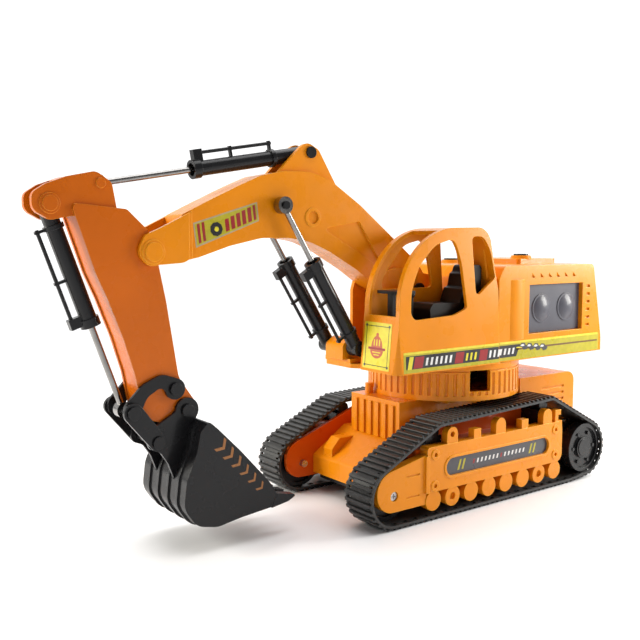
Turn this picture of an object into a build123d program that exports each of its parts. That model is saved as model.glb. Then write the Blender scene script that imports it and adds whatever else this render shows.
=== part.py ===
from build123d import *
import math
import os

# Toy excavator, radio-controlled, in millimetres.
# +X is forward, +Y is the cab side (left) and +Z is up.
# The origin is on the ground, on the axis that the house slews about.

os.makedirs("parts", exist_ok=True)

# ------------------------------------------------------------------ driving dimensions
FIT = 0.05  # radial clearance of a pin that turns in a bore
GAP = 0.3  # space between pieces that move past each other
SHELL = 2.5  # wall of the large moulded shells
THIN = 1.6  # wall of small boxes and trays

GROUND_CLEARANCE = 10.0
PIN_R = 2.5
MAIN_PIN_R = 3.0
SCREW_R = 1.3
SCREW_HEAD_R = 2.8

# Tracks: positions are (x, z), seen from the left side
SPROCKET = (-93.0, 24.2)
SPROCKET_R = 19.0
SPROCKET_INNER_Y = 42.0
SPROCKET_OUTER_Y = 63.0
IDLER = (105.0, 21.8)
IDLER_R = 18.3
IDLER_INNER_Y = 42.0
IDLER_OUTER_Y = 55.5
BELT_INNER_Y = 38.8
BELT_OUTER_Y = 65.2
BELT_WEB = 1.7
CLEAT_HEIGHT = 1.5
CLEAT_WIDTH = 2.2
CLEAT_PITCH = 4.6
FRONT_CARRIER = (64.0, 57.3)
REAR_CARRIER = (-50.0, 61.8)
# Rounds that the belt's inner surface bends over, counter-clockwise: x, z, radius
BELT_ROUNDS = [
    (*IDLER, 18.6),
    (*FRONT_CARRIER, 5.0),
    (*REAR_CARRIER, 5.0),
    (*SPROCKET, 19.3),
    (-72.0, 11.2, 8.0),
]
COVER_Y = 57.0  # inner face of a track cover
COVER_FACE_Y = 64.6
ROLLER_PITCH = 18.0
ROLLER_COUNT = 8
ROLLER_R = 6.8

# Chassis and turntable
HULL_Y = 38.2
HULL_TOP_Z = 46.0
HULL_BOTTOM_Z = GROUND_CLEARANCE + 3.6
TOWER_Y = 26.5
TOWER_TOP_Z = 72.5
DRUM_R = 57.0
DRUM_TOP_Z = 98.2
FLUTE_COUNT = 60
HUB_R = 22.0

# House
FLOOR_Z = 98.6
FLOOR_TOP_Z = 101.6
HOUSE_Y = 57.5
ROOF_Z = 167.0
CAB_WALL = 2.4
CAB_INNER_Y = 22.5

# Arm pivots (x, z)
BOOM_FOOT = (40.0, 150.0)
BOOM_CYLINDER_BASE = (98.0, 112.0)
BOOM_CYLINDER_EYE = (157.5, 207.0)
STICK_CYLINDER_BASE = (130.5, 242.0)
STICK_CYLINDER_EYE = (273.5, 216.5)
STICK_PIVOT = (245.0, 178.5)
BUCKET_CYLINDER_BASE = (302.0, 204.8)
ROCKER_PIVOT = (232.5, 98.0)
LINK_PIVOT = (260.0, 87.0)
BUCKET_LINK_EYE = (245.0, 68.0)
BUCKET_PIVOT = (225.0, 84.5)
ARM_Y = 10.5  # half-width of boom and stick
CHEEK_Y = ARM_Y + GAP  # inner face of the cheeks that hold them
BOOM_CYLINDER_Y = 15.8
BARREL_R = 5.0
BARREL_BORE_R = 4.0
ROD_R = 1.9
BUCKET_Y = 28.5


# ------------------------------------------------------------------ shared shapes
def side_plane(y):
    """Plane square to Y at y, whose local axes are the model's X and Z."""
    return Plane(origin=(0, y, 0), x_dir=(1, 0, 0), z_dir=(0, -1, 0))


def plate(points, radii, y_low, y_high, mode=Mode.ADD):
    """Plate with an XZ outline and rounded corners, between two Y positions."""
    with BuildSketch(side_plane(y_high)) as outline:
        with BuildLine():
            FilletPolyline(*points, radius=radii, close=True)
        make_face()
    extrude(outline.sketch, amount=y_high - y_low, mode=mode)


def sharp_plate(points, y_low, y_high, mode=Mode.ADD):
    """Plate with an XZ outline and sharp corners, between two Y positions."""
    with BuildSketch(side_plane(y_high)) as outline:
        with BuildLine():
            Polyline(*points, close=True)
        make_face()
    extrude(outline.sketch, amount=y_high - y_low, mode=mode)


def inset_plate(points, radii, inset, y_low, y_high, mode=Mode.ADD):
    """The same plate, with its outline moved inwards."""
    with BuildSketch(side_plane(y_high)) as outline:
        with BuildLine():
            FilletPolyline(*points, radius=radii, close=True)
        make_face()
        offset(amount=-inset, kind=Kind.INTERSECTION)
    extrude(outline.sketch, amount=y_high - y_low, mode=mode)


def cross_bar(place, radius, y_low, y_high, mode=Mode.ADD):
    """Round bar along Y at an (x, z) place."""
    with BuildSketch(side_plane(y_high)) as outline:
        with Locations(place):
            Circle(radius)
    extrude(outline.sketch, amount=y_high - y_low, mode=mode)


def post(x, y, radius, z_low, z_high, mode=Mode.ADD):
    """Upright round bar."""
    with BuildSketch(Plane.XY.offset(z_low)) as outline:
        with Locations((x, y)):
            Circle(radius)
    extrude(outline.sketch, amount=z_high - z_low, mode=mode)


def block(low, high, mode=Mode.ADD):
    """Box between two corners."""
    size = [top - bottom for bottom, top in zip(low, high)]
    centre = [(top + bottom) / 2 for bottom, top in zip(low, high)]
    with Locations(tuple(centre)):
        Box(*size, mode=mode)


def plan_prism(points, radii, z_low, z_high, mode=Mode.ADD):
    """Prism with an XY outline and rounded corners, between two heights."""
    with BuildSketch(Plane.XY.offset(z_low)) as outline:
        with BuildLine():
            FilletPolyline(*points, radius=radii, close=True)
        make_face()
    extrude(outline.sketch, amount=z_high - z_low, mode=mode)


def mirrored(piece):
    """The right-hand twin of a left-hand piece."""
    with BuildPart() as twin:
        mirror(piece.part, about=Plane.XZ)
    return twin


def toward(start, end, distance):
    """The (x, z) place at a distance from start in the direction of end."""
    length = math.dist(start, end)
    return (
        start[0] + (end[0] - start[0]) * distance / length,
        start[1] + (end[1] - start[1]) * distance / length,
    )


def lean(start, end):
    """Unit direction in the XZ plane from start to end."""
    length = math.dist(start, end)
    return ((end[0] - start[0]) / length, (end[1] - start[1]) / length)


def rod_along(start, end, y, near, far, radius, mode=Mode.ADD, aside=0.0):
    """Round bar on the line from start to end, between two distances, set aside by a distance."""
    dx, dz = lean(start, end)
    x, z = toward(start, end, near)
    base = Plane(origin=(x + dz * aside, y, z - dx * aside), x_dir=(0, 1, 0), z_dir=(dx, 0, dz))
    with BuildSketch(base) as outline:
        Circle(radius)
    extrude(outline.sketch, amount=far - near, mode=mode)


# ------------------------------------------------------------------ track belts
def straight_run(first, second):
    """Ends of the belt's straight run from one round to the next."""
    dx, dz = lean(first[:2], second[:2])
    slope = (first[2] - second[2]) / math.dist(first[:2], second[:2])
    square = math.sqrt(1 - slope**2)
    normal = (dx * slope + dz * square, dz * slope - dx * square)
    start = (first[0] + first[2] * normal[0], first[1] + first[2] * normal[1])
    end = (second[0] + second[2] * normal[0], second[1] + second[2] * normal[1])
    return start, end, normal


def belt_stretches():
    """The belt's runs and bends, in order: (length, function from distance to place and normal)."""
    count = len(BELT_ROUNDS)
    runs = [straight_run(BELT_ROUNDS[i], BELT_ROUNDS[(i + 1) % count]) for i in range(count)]
    stretches = []
    for index, (start, end, normal) in enumerate(runs):
        stretches.append(("run", math.dist(start, end), start, end, normal))
        x, z, radius = BELT_ROUNDS[(index + 1) % count]
        first_angle = math.atan2(normal[1], normal[0])
        next_normal = runs[(index + 1) % count][2]
        turn = (math.atan2(next_normal[1], next_normal[0]) - first_angle) % math.tau
        stretches.append(("bend", radius * turn, (x, z), radius, first_angle))
    return stretches


STRETCHES = belt_stretches()
BELT_LENGTH = sum(stretch[1] for stretch in STRETCHES)


def belt_place(distance, height):
    """Place at a distance along the belt and a height above its inner surface."""
    distance %= BELT_LENGTH
    for stretch in STRETCHES:
        if distance <= stretch[1]:
            break
        distance -= stretch[1]
    if stretch[0] == "run":
        start, end, normal = stretch[2:]
        x, z = toward(start, end, distance)
        return (x + normal[0] * height, z + normal[1] * height)
    centre, radius, first_angle = stretch[2:]
    angle = first_angle + distance / radius
    reach = radius + height
    return (centre[0] + reach * math.cos(angle), centre[1] + reach * math.sin(angle))


with BuildPart() as left_track_belt:
    cleat_count = round(BELT_LENGTH / CLEAT_PITCH)
    outer_points = []
    for cleat in range(cleat_count):
        middle = cleat * BELT_LENGTH / cleat_count
        half = CLEAT_WIDTH / 2
        outer_points.append(belt_place(middle - half, BELT_WEB))
        outer_points.append(belt_place(middle - half * 0.7, BELT_WEB + CLEAT_HEIGHT))
        outer_points.append(belt_place(middle + half * 0.7, BELT_WEB + CLEAT_HEIGHT))
        outer_points.append(belt_place(middle + half, BELT_WEB))
    sharp_plate(outer_points, BELT_INNER_Y, BELT_OUTER_Y)
    with BuildSketch(side_plane(BELT_OUTER_Y)) as belt_hole:
        with BuildLine():
            for stretch in STRETCHES:
                if stretch[0] == "run":
                    Line(stretch[2], stretch[3])
                else:
                    centre, radius, first_angle = stretch[2:]
                    bend_angle = math.degrees(stretch[1] / radius)
                    CenterArc(centre, radius, math.degrees(first_angle), bend_angle)
        make_face()
    extrude(belt_hole.sketch, amount=BELT_OUTER_Y - BELT_INNER_Y, mode=Mode.SUBTRACT)

# ------------------------------------------------------------------ sprockets and idlers
SHAFT_INNER_Y = 26.0
WHEEL_HUB_R = 7.0
DISH_R = 16.0
DISH_DEPTH = 2.0
GROOVE_WIDTH = 5.0

with BuildPart() as left_sprocket:
    cross_bar(SPROCKET, SPROCKET_R, SPROCKET_INNER_Y, SPROCKET_OUTER_Y)
    groove_y = (SPROCKET_INNER_Y + SPROCKET_OUTER_Y) / 2
    with BuildSketch(side_plane(groove_y + GROOVE_WIDTH / 2)) as groove:
        with Locations(SPROCKET):
            Circle(SPROCKET_R + 1)
            Circle(SPROCKET_R - DISH_DEPTH, mode=Mode.SUBTRACT)
    extrude(groove.sketch, amount=GROOVE_WIDTH, mode=Mode.SUBTRACT)
    with BuildSketch(side_plane(SPROCKET_OUTER_Y)) as dish:
        with Locations(SPROCKET):
            Circle(DISH_R)
            Circle(WHEEL_HUB_R + 1.5, mode=Mode.SUBTRACT)
    extrude(dish.sketch, amount=DISH_DEPTH, mode=Mode.SUBTRACT)
    cross_bar(SPROCKET, WHEEL_HUB_R, SPROCKET_OUTER_Y - 1, SPROCKET_OUTER_Y + 0.5)
    cross_bar(SPROCKET, MAIN_PIN_R, SHAFT_INNER_Y, SPROCKET_INNER_Y + 1)
    with BuildSketch(side_plane(SPROCKET_OUTER_Y - 0.6)) as bolts:
        with Locations(SPROCKET):
            with PolarLocations((DISH_R + WHEEL_HUB_R + 1.5) / 2, 6):
                RegularPolygon(1.5, 6)
    extrude(bolts.sketch, amount=DISH_DEPTH)

with BuildPart() as left_idler:
    cross_bar(IDLER, IDLER_R, IDLER_INNER_Y, IDLER_OUTER_Y)
    for dish_y in (IDLER_INNER_Y + DISH_DEPTH, IDLER_OUTER_Y):
        with BuildSketch(side_plane(dish_y)) as idler_dish:
            with Locations(IDLER):
                Circle(IDLER_R - 3)
                Circle(WHEEL_HUB_R, mode=Mode.SUBTRACT)
        extrude(idler_dish.sketch, amount=DISH_DEPTH, mode=Mode.SUBTRACT)
    cross_bar(IDLER, PIN_R + FIT, IDLER_INNER_Y, IDLER_OUTER_Y, Mode.SUBTRACT)

AXLE_INNER_Y = 35.0
AXLE_SCREW_DEPTH = 8.0
with BuildPart() as idler_axles:
    cross_bar(IDLER, PIN_R, AXLE_INNER_Y, COVER_Y)
    cross_bar(IDLER, SCREW_R + FIT, COVER_Y - AXLE_SCREW_DEPTH, COVER_Y, Mode.SUBTRACT)
    mirror(about=Plane.XZ)

# ------------------------------------------------------------------ track covers
NOSE_FACE_Y = 63.6
STADIUM_RIM_Y = 65.2
STADIUM_FLOOR_Y = 63.2
LUG_LOW_Y = 59.0
LUG_HIGH_Y = 64.2
RIB_X = 77.0
COVER_REAR_X = -63.0
COVER_TOP_Z = 49.5
COVER_BOTTOM_Z = 19.0
STADIUM_CENTRE = (6.5, 33.5)
STADIUM_LENGTH = 107.0
STADIUM_R = 6.2
STADIUM_RIM = 1.6
ROUND_LUGS_X = (53.8, 5.5, -46.0)
FLAT_LUGS_X = (29.5, -20.5)
CORNER_BOSSES = ((70.0, 44.0), (70.0, 23.0), (-55.0, 44.0), (-55.0, 25.0))
HEAD_DEPTH = 1.6


def stadium(length, radius, y_low, y_high, mode=Mode.ADD):
    """Slot-shaped plate around the cover's middle."""
    with BuildSketch(side_plane(y_high)) as outline:
        with Locations(STADIUM_CENTRE):
            SlotOverall(length, 2 * radius)
    extrude(outline.sketch, amount=y_high - y_low, mode=mode)


with BuildPart() as left_track_cover:
    nose_outline = [(RIB_X, 44.5), (119.3, 36.3), (119.3, 11.5), (RIB_X, 11.5)]
    plate(nose_outline, [0, 13.2, 13.2, 0], COVER_Y, NOSE_FACE_Y)
    body_outline = [
        (RIB_X, COVER_BOTTOM_Z),
        (RIB_X, COVER_TOP_Z),
        (COVER_REAR_X, COVER_TOP_Z),
        (COVER_REAR_X, COVER_BOTTOM_Z),
    ]
    plate(body_outline, [0, 2, 6, 6], COVER_Y, COVER_FACE_Y)
    stadium(STADIUM_LENGTH + 2 * STADIUM_RIM, STADIUM_R + STADIUM_RIM, COVER_FACE_Y - 1, STADIUM_RIM_Y)
    # hollow from the back, behind the face
    hollow_low = (COVER_REAR_X + 3, COVER_Y - 1, COVER_BOTTOM_Z + 4)
    hollow_high = (RIB_X - 2, 61.5, COVER_TOP_Z - 2)
    block(hollow_low, hollow_high, Mode.SUBTRACT)
    for lug_x in ROUND_LUGS_X:
        block((lug_x - 5, LUG_LOW_Y, COVER_TOP_Z - 1), (lug_x + 5, LUG_HIGH_Y, 55.5))
        cross_bar((lug_x, 55.5), 5.0, LUG_LOW_Y, LUG_HIGH_Y)
    cross_bar((ROUND_LUGS_X[0], 55.5), 2.0, LUG_LOW_Y, LUG_HIGH_Y, Mode.SUBTRACT)
    for lug_x in FLAT_LUGS_X:
        block((lug_x - 3.5, LUG_LOW_Y, COVER_TOP_Z - 1), (lug_x + 3.5, LUG_HIGH_Y, 56.0))
    hook_tip = [(-61.5, 58.5), (-61.5, 54.5), (-58.5, 54.5), (-58.5, 50)]
    hook = [(-63, 46), (-55, 46), (-55, 58.5), *hook_tip, (-63, 50)]
    sharp_plate(hook, LUG_LOW_Y, LUG_HIGH_Y)
    for number in range(ROLLER_COUNT):
        roller_x = 71.0 - number * ROLLER_PITCH
        cross_bar((roller_x, 13.0), ROLLER_R, COVER_Y, LUG_HIGH_Y)
        block((roller_x - 4, COVER_Y, 13), (roller_x + 4, LUG_HIGH_Y, COVER_BOTTOM_Z + 1))
        if number in (1, 6):
            cross_bar((roller_x, 13.0), 2.6, LUG_HIGH_Y - 2, LUG_HIGH_Y, Mode.SUBTRACT)
    for boss in CORNER_BOSSES:
        cross_bar(boss, 3.6, COVER_FACE_Y - 1, STADIUM_RIM_Y)
        cross_bar(boss, 1.4, COVER_FACE_Y - 1, STADIUM_RIM_Y, Mode.SUBTRACT)
    stadium(STADIUM_LENGTH, STADIUM_R, STADIUM_FLOOR_Y, STADIUM_RIM_Y, Mode.SUBTRACT)
    for groove_z in (33.0, 19.0):
        groove_low = (RIB_X + 6, NOSE_FACE_Y - 0.8, groove_z - 0.7)
        groove_high = (RIB_X + 18, NOSE_FACE_Y, groove_z + 0.7)
        block(groove_low, groove_high, Mode.SUBTRACT)
    # vertical ribs at the joint of nose and body
    block((RIB_X - 1.5, COVER_Y, COVER_BOTTOM_Z), (RIB_X + 1.5, STADIUM_RIM_Y, 44.0))
    # screw into the idler axle
    cross_bar(IDLER, SCREW_R + 0.3, COVER_Y, NOSE_FACE_Y, Mode.SUBTRACT)
    cross_bar(IDLER, SCREW_HEAD_R + 0.4, NOSE_FACE_Y - HEAD_DEPTH - 1, NOSE_FACE_Y, Mode.SUBTRACT)

# ------------------------------------------------------------------ track frames
FRAME_PLATE_Y = 41.5
BEAM_OUTER_Y = 56.6
BEAM_FRONT_X = 80.0
BEAM_REAR_X = -66.0
BEAM_TOP_Z = 47.0

with BuildPart() as left_track_frame:
    frame_outline = [(-66, 11), (-66, 58), (56, 58), (80, 49), (119.2, 34.9), (119.2, 11.5)]
    plate(frame_outline, [8, 4, 6, 4, 12.8, 12.8], HULL_Y, FRAME_PLATE_Y)
    block((BEAM_REAR_X, FRAME_PLATE_Y - 0.5, 12), (BEAM_FRONT_X, BEAM_OUTER_Y, BEAM_TOP_Z))
    block(
        (BEAM_REAR_X + 3, FRAME_PLATE_Y + 2, 15),
        (BEAM_FRONT_X - 3, BEAM_OUTER_Y + 1, BEAM_TOP_Z - 3),
        Mode.SUBTRACT,
    )
    for web_x in (-30.0, 6.0, 42.0):
        block((web_x - 1, FRAME_PLATE_Y, 14), (web_x + 1, BEAM_OUTER_Y, BEAM_TOP_Z - 2))
    cross_bar(IDLER, PIN_R + FIT, HULL_Y, FRAME_PLATE_Y, Mode.SUBTRACT)

with BuildPart() as carrier_blocks:
    for carrier_x, carrier_z in (FRONT_CARRIER, REAR_CARRIER):
        carrier_low = (carrier_x - 7, FRAME_PLATE_Y + 0.1, BEAM_TOP_Z + 0.1)
        block(carrier_low, (carrier_x + 7, COVER_Y - GAP, carrier_z - 3))
        cross_bar((carrier_x, carrier_z), 4.7, FRAME_PLATE_Y + 0.1, COVER_Y - GAP)
    mirror(about=Plane.XZ)

# ------------------------------------------------------------------ chassis deck
DECK_FRONT_X = 95.0
DECK_REAR_X = -112.0
TOWER_FRONT_X = 68.0
TOWER_REAR_X = -60.0
REAR_BOX_X = (-117.0, -50.0)
REAR_BOX_Y = 34.0
REAR_BOX_TOP_Z = 79.0
# Screw posts inside the hull: x, y and the height that each reaches
LEFT_SCREW_POSTS = ((80, 28, 34.5), (44, 32, 44.5), (-44, 32, 44.5))  # x, y and top height
SCREW_POSTS = [(x, side * y, z) for x, y, z in LEFT_SCREW_POSTS for side in (1, -1)]

with BuildPart() as chassis_deck:
    hull_outline = [
        (DECK_FRONT_X, HULL_BOTTOM_Z),
        (DECK_FRONT_X, 27),
        (66, HULL_TOP_Z),
        (DECK_REAR_X, HULL_TOP_Z),
        (DECK_REAR_X, HULL_BOTTOM_Z),
    ]
    plate(hull_outline, [0, 3, 3, 3, 0], -HULL_Y, HULL_Y)
    block((TOWER_REAR_X, -TOWER_Y, HULL_TOP_Z - 1), (TOWER_FRONT_X, TOWER_Y, TOWER_TOP_Z))
    rear_outline = [
        (REAR_BOX_X[0], 32),
        (REAR_BOX_X[1], 32),
        (REAR_BOX_X[1], REAR_BOX_TOP_Z),
        (REAR_BOX_X[0], REAR_BOX_TOP_Z),
    ]
    plate(rear_outline, [2, 0, 0, 8], -REAR_BOX_Y, REAR_BOX_Y)
    # hollow the hull, the tower and the rear box
    room_outline = [
        (DECK_FRONT_X - SHELL, HULL_BOTTOM_Z - 1),
        (DECK_FRONT_X - SHELL, 26),
        (65, HULL_TOP_Z - SHELL),
        (DECK_REAR_X + SHELL, HULL_TOP_Z - SHELL),
        (DECK_REAR_X + SHELL, HULL_BOTTOM_Z - 1),
    ]
    sharp_plate(room_outline, -HULL_Y + SHELL, HULL_Y - SHELL, Mode.SUBTRACT)
    block(
        (TOWER_REAR_X + SHELL, -TOWER_Y + SHELL, 40),
        (TOWER_FRONT_X - SHELL, TOWER_Y - SHELL, TOWER_TOP_Z - SHELL),
        Mode.SUBTRACT,
    )
    block(
        (REAR_BOX_X[0] + SHELL, -REAR_BOX_Y + SHELL, 40),
        (REAR_BOX_X[1] - SHELL, REAR_BOX_Y - SHELL, 69),
        Mode.SUBTRACT,
    )
    # the rear box is cut away round the turntable drum
    post(0, 0, DRUM_R + 0.4, TOWER_TOP_Z, REAR_BOX_TOP_Z + 1, Mode.SUBTRACT)
    # wiring hole under the drum
    post(0, 0, 10, TOWER_TOP_Z - 5, TOWER_TOP_Z + 1, Mode.SUBTRACT)
    # step rails on the sloping front deck
    for side in (1, -1):
        with BuildSketch(side_plane(side * 23 + 5)) as rail:
            with BuildLine():
                Polyline((67, 43), (69, 41.5), (86, 41.5), (93, 34), (93, 25), (80, 33), close=True)
            make_face()
        extrude(rail.sketch, amount=10)
    # upright ribs on the tower's front
    for rib_y in (-20, -12, -4, 4, 12, 20):
        rib_low = (TOWER_FRONT_X - 1, rib_y - 1.5, HULL_TOP_Z - 1)
        block(rib_low, (TOWER_FRONT_X + 1.6, rib_y + 1.5, TOWER_TOP_Z - 3))
    # round post beside the drum
    post(59, -17, 3, TOWER_TOP_Z - 4, 80)
    # tabs over the belts
    for side in (1, -1):
        for tab_x in (31, 3):
            low_y, high_y = sorted((side * (TOWER_Y - 1), side * 40))
            block((tab_x - 4, low_y, 70.2), (tab_x + 4, high_y, TOWER_TOP_Z))
    # louvres in the rear box's sides
    for side in (1, -1):
        for louvre in range(4):
            louvre_z = 52 + louvre * 5
            low_y, high_y = sorted((side * (REAR_BOX_Y - 1), side * (REAR_BOX_Y + 1)))
            block((-104, low_y, louvre_z), (-76, high_y, louvre_z + 2), Mode.SUBTRACT)
    # sprocket shafts pass through the hull's sides
    cross_bar(SPROCKET, MAIN_PIN_R + 1, -HULL_Y - 1, HULL_Y + 1, Mode.SUBTRACT)
    for x, y, top_z in SCREW_POSTS:
        post(x, y, 3.2, HULL_BOTTOM_Z, top_z)
        post(x, y, SCREW_R + FIT, HULL_BOTTOM_Z, 27, Mode.SUBTRACT)

# ------------------------------------------------------------------ chassis underside
BASE_LOW_Z = GROUND_CLEARANCE
BASE_HIGH_Z = HULL_BOTTOM_Z - 0.1
DOOR_X = (-32.0, 32.0)
DOOR_Y = 31.0
DOOR_LOW_Z = 7.6
DOOR_HIGH_Z = 9.7
SWITCH_PLACE = (58.0, 0.0)
SWITCH_TRAVEL = 4.0

with BuildPart() as chassis_base:
    base_outline = [(92, -36.5), (92, 36.5), (-110, 36.5), (-110, -36.5)]
    plan_prism(base_outline, [4, 4, 4, 4], BASE_LOW_Z, BASE_HIGH_Z)
    block((DOOR_X[0] + 4, -27, 0), (DOOR_X[1] - 4, 27, 20), Mode.SUBTRACT)
    # rails that the battery door slides in
    for side in (1, -1):
        low_y, high_y = sorted((side * (DOOR_Y + GAP), side * (DOOR_Y + GAP + 2)))
        block((DOOR_X[0], low_y, DOOR_LOW_Z - 1.6), (DOOR_X[1], high_y, BASE_LOW_Z + 1))
        low_y, high_y = sorted((side * (DOOR_Y - 1.5), side * (DOOR_Y + GAP + 2)))
        block((DOOR_X[0], low_y, DOOR_LOW_Z - 1.6), (DOOR_X[1], high_y, DOOR_LOW_Z - GAP))
    # slot for the power switch
    slot_x = SWITCH_PLACE[0]
    block((slot_x - 6, -2.5, 0), (slot_x + 6, 2.5, 20), Mode.SUBTRACT)
    for x, y, _ in SCREW_POSTS:
        post(x, y, SCREW_R + 0.3, BASE_LOW_Z, BASE_HIGH_Z, Mode.SUBTRACT)
        post(x, y, SCREW_HEAD_R + 0.3, BASE_LOW_Z, BASE_LOW_Z + 1.6, Mode.SUBTRACT)

# screws up into the deck's posts, and one through each track cover into its idler axle
with BuildPart() as undercarriage_screws:
    for x, y, _ in SCREW_POSTS:
        post(x, y, SCREW_HEAD_R, BASE_LOW_Z + 0.1, BASE_LOW_Z + 1.5)
        post(x, y, SCREW_R, BASE_LOW_Z + 1.5, 26)
        with Locations((x, y, BASE_LOW_Z)):
            Box(3.4, 0.7, 1.6, mode=Mode.SUBTRACT)
            Box(0.7, 3.4, 1.6, mode=Mode.SUBTRACT)
    for side in (1, -1):
        head_y = side * (NOSE_FACE_Y - HEAD_DEPTH - 1)
        crown_y = side * (NOSE_FACE_Y - 1)
        tip_y = side * (COVER_Y - AXLE_SCREW_DEPTH + 1)
        cross_bar(IDLER, SCREW_HEAD_R, min(head_y, crown_y), max(head_y, crown_y))
        cross_bar(IDLER, SCREW_R, min(head_y, tip_y), max(head_y, tip_y))
        with Locations((IDLER[0], crown_y, IDLER[1])):
            Box(3.4, 1.6, 0.7, mode=Mode.SUBTRACT)
            Box(0.7, 1.6, 3.4, mode=Mode.SUBTRACT)

with BuildPart() as battery_door:
    block((DOOR_X[0], -DOOR_Y, DOOR_LOW_Z), (DOOR_X[1], DOOR_Y, DOOR_HIGH_Z))
    for grip in range(5):
        grip_x = DOOR_X[0] + 6 + grip * 2.4
        block((grip_x, -12, DOOR_LOW_Z), (grip_x + 1.2, 12, DOOR_LOW_Z + 0.6), Mode.SUBTRACT)

CELL_R = 7.1
CELL_LENGTH = 50.0
CELL_PITCH = 14.6
CELL_Z = 22.4
with BuildPart() as battery_box:
    block((-29, -31, HULL_BOTTOM_Z), (29, 31, 31.5))
    block((-29 + THIN, -31 + THIN, HULL_BOTTOM_Z - 1), (29 - THIN, 31 - THIN, 31.5 - THIN), Mode.SUBTRACT)

with BuildPart() as battery_cells:
    for number in range(4):
        cell_y = (number - 1.5) * CELL_PITCH
        flip = 1 if number % 2 else -1
        cell_plane = Plane(origin=(-CELL_LENGTH / 2, cell_y, CELL_Z), x_dir=(0, 1, 0), z_dir=(1, 0, 0))
        with BuildSketch(cell_plane) as cell:
            Circle(CELL_R)
        extrude(cell.sketch, amount=CELL_LENGTH)
        knob_place = (flip * CELL_LENGTH / 2, cell_y, CELL_Z)
        knob_plane = Plane(origin=knob_place, x_dir=(0, 1, 0), z_dir=(flip, 0, 0))
        with BuildSketch(knob_plane) as knob:
            Circle(2.7)
        extrude(knob.sketch, amount=1.2)

with BuildPart() as power_switch_body:
    block((slot_x - 9, -6, BASE_HIGH_Z + 0.1), (slot_x + 9, 6, 22))
    block((slot_x - 5.5, -2.3, BASE_HIGH_Z - 1), (slot_x + 5.5, 2.3, 17), Mode.SUBTRACT)

with BuildPart() as power_switch_slider:
    block((slot_x - 3.5, -2, BASE_LOW_Z - 1), (slot_x + 0.5, 2, 16.5))

with BuildPart() as drive_gearboxes:
    block((-108, 6, 16), (-78, HULL_Y - SHELL - 0.1, 42))
    with BuildSketch(Plane(origin=(-78, 20, 30), x_dir=(0, 1, 0), z_dir=(1, 0, 0))) as can:
        Circle(10)
    extrude(can.sketch, amount=27)
    cross_bar(SPROCKET, MAIN_PIN_R + FIT, SHAFT_INNER_Y - 1, HULL_Y, Mode.SUBTRACT)
    mirror(about=Plane.XZ)

# ------------------------------------------------------------------ turntable
COLLAR_LOW_Z = 87.0
DRUM_WINDOW_AZIMUTH = 73.0
with BuildPart() as turntable_drum:
    post(0, 0, DRUM_R, TOWER_TOP_Z + 0.05, DRUM_TOP_Z)
    with BuildSketch(Plane.XY.offset(76)) as flutes:
        with PolarLocations(DRUM_R + 0.3, FLUTE_COUNT):
            Circle(1.5)
    extrude(flutes.sketch, amount=16, mode=Mode.SUBTRACT)
    with BuildSketch(Plane.XY.offset(93)) as band:
        Circle(DRUM_R + 1)
        Circle(DRUM_R - 0.8, mode=Mode.SUBTRACT)
    extrude(band.sketch, amount=1.2, mode=Mode.SUBTRACT)
    post(0, 0, DRUM_R - 4, TOWER_TOP_Z + 3, DRUM_TOP_Z - 3, Mode.SUBTRACT)
    post(0, 0, HUB_R + 4, COLLAR_LOW_Z, DRUM_TOP_Z - 2)
    post(0, 0, HUB_R + 0.06, COLLAR_LOW_Z - 1, DRUM_TOP_Z + 1, Mode.SUBTRACT)
    post(0, 0, 10, TOWER_TOP_Z, TOWER_TOP_Z + 4, Mode.SUBTRACT)
    window_plane = Plane.XY.rotated((0, 0, DRUM_WINDOW_AZIMUTH))
    with BuildSketch(window_plane.offset(79)) as window:
        with Locations((DRUM_R, 0)):
            Rectangle(12, 16)
    extrude(window.sketch, amount=15, mode=Mode.SUBTRACT)

with BuildPart() as slew_retainer:
    post(0, 0, HUB_R + 4, 82.4, 85.9)
    post(0, 0, 8, 82, 86, Mode.SUBTRACT)

# ------------------------------------------------------------------ house floor and shell
FLOOR_FRONT = [(40, -54), (48, -20), (102, -14.5), (102, 14.5), (96, 22.5), (96, 54)]
FLOOR_OUTLINE = [(-112, -54), *FLOOR_FRONT, (-112, 54)]
FLOOR_RADII = [4, 6, 6, 3, 3, 3, 5, 4]

with BuildPart() as house_floor:
    plan_prism(FLOOR_OUTLINE, FLOOR_RADII, FLOOR_Z, FLOOR_TOP_Z)
    post(0, 0, HUB_R, 86, FLOOR_Z + 1)
    post(0, 0, 8, 80, FLOOR_TOP_Z + 1, Mode.SUBTRACT)

with BuildPart() as floor_space:
    with BuildSketch(Plane.XY.offset(FLOOR_Z - 2)) as space:
        with BuildLine():
            FilletPolyline(*FLOOR_OUTLINE, radius=FLOOR_RADII, close=True)
        make_face()
        offset(amount=0.2, kind=Kind.INTERSECTION)
    extrude(amount=FLOOR_TOP_Z + 0.1 - FLOOR_Z + 2)

HOUSE_REAR_X = -120.0
BLOCK_OUTLINE = [(HOUSE_REAR_X, FLOOR_Z), (2.6, FLOOR_Z), (2.6, 158), (-3, ROOF_Z), (-106, ROOF_Z)]
FAN_X = (-93.0, -30.0)
FAN_Z = (117.0, 153.0)
FAN_PANEL_Y = 52.5
FANS = ((-48.0, 135.0), (-77.0, 135.0))
FAN_R = 9.5
FAN_RIM = 1.2
FAN_RISE = 2.6
VENT_COUNT = 6
ROOF_CAPS = ((-62.0, 22.0, ROOF_Z + 4), (-38.0, -30.0, ROOF_Z))  # x, y and the height of the roof there
CAP_SEAT = 2.6
BULGE_R = 20.0
BULGE_RISE = 1.5
CAP_R = 5.6

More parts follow.
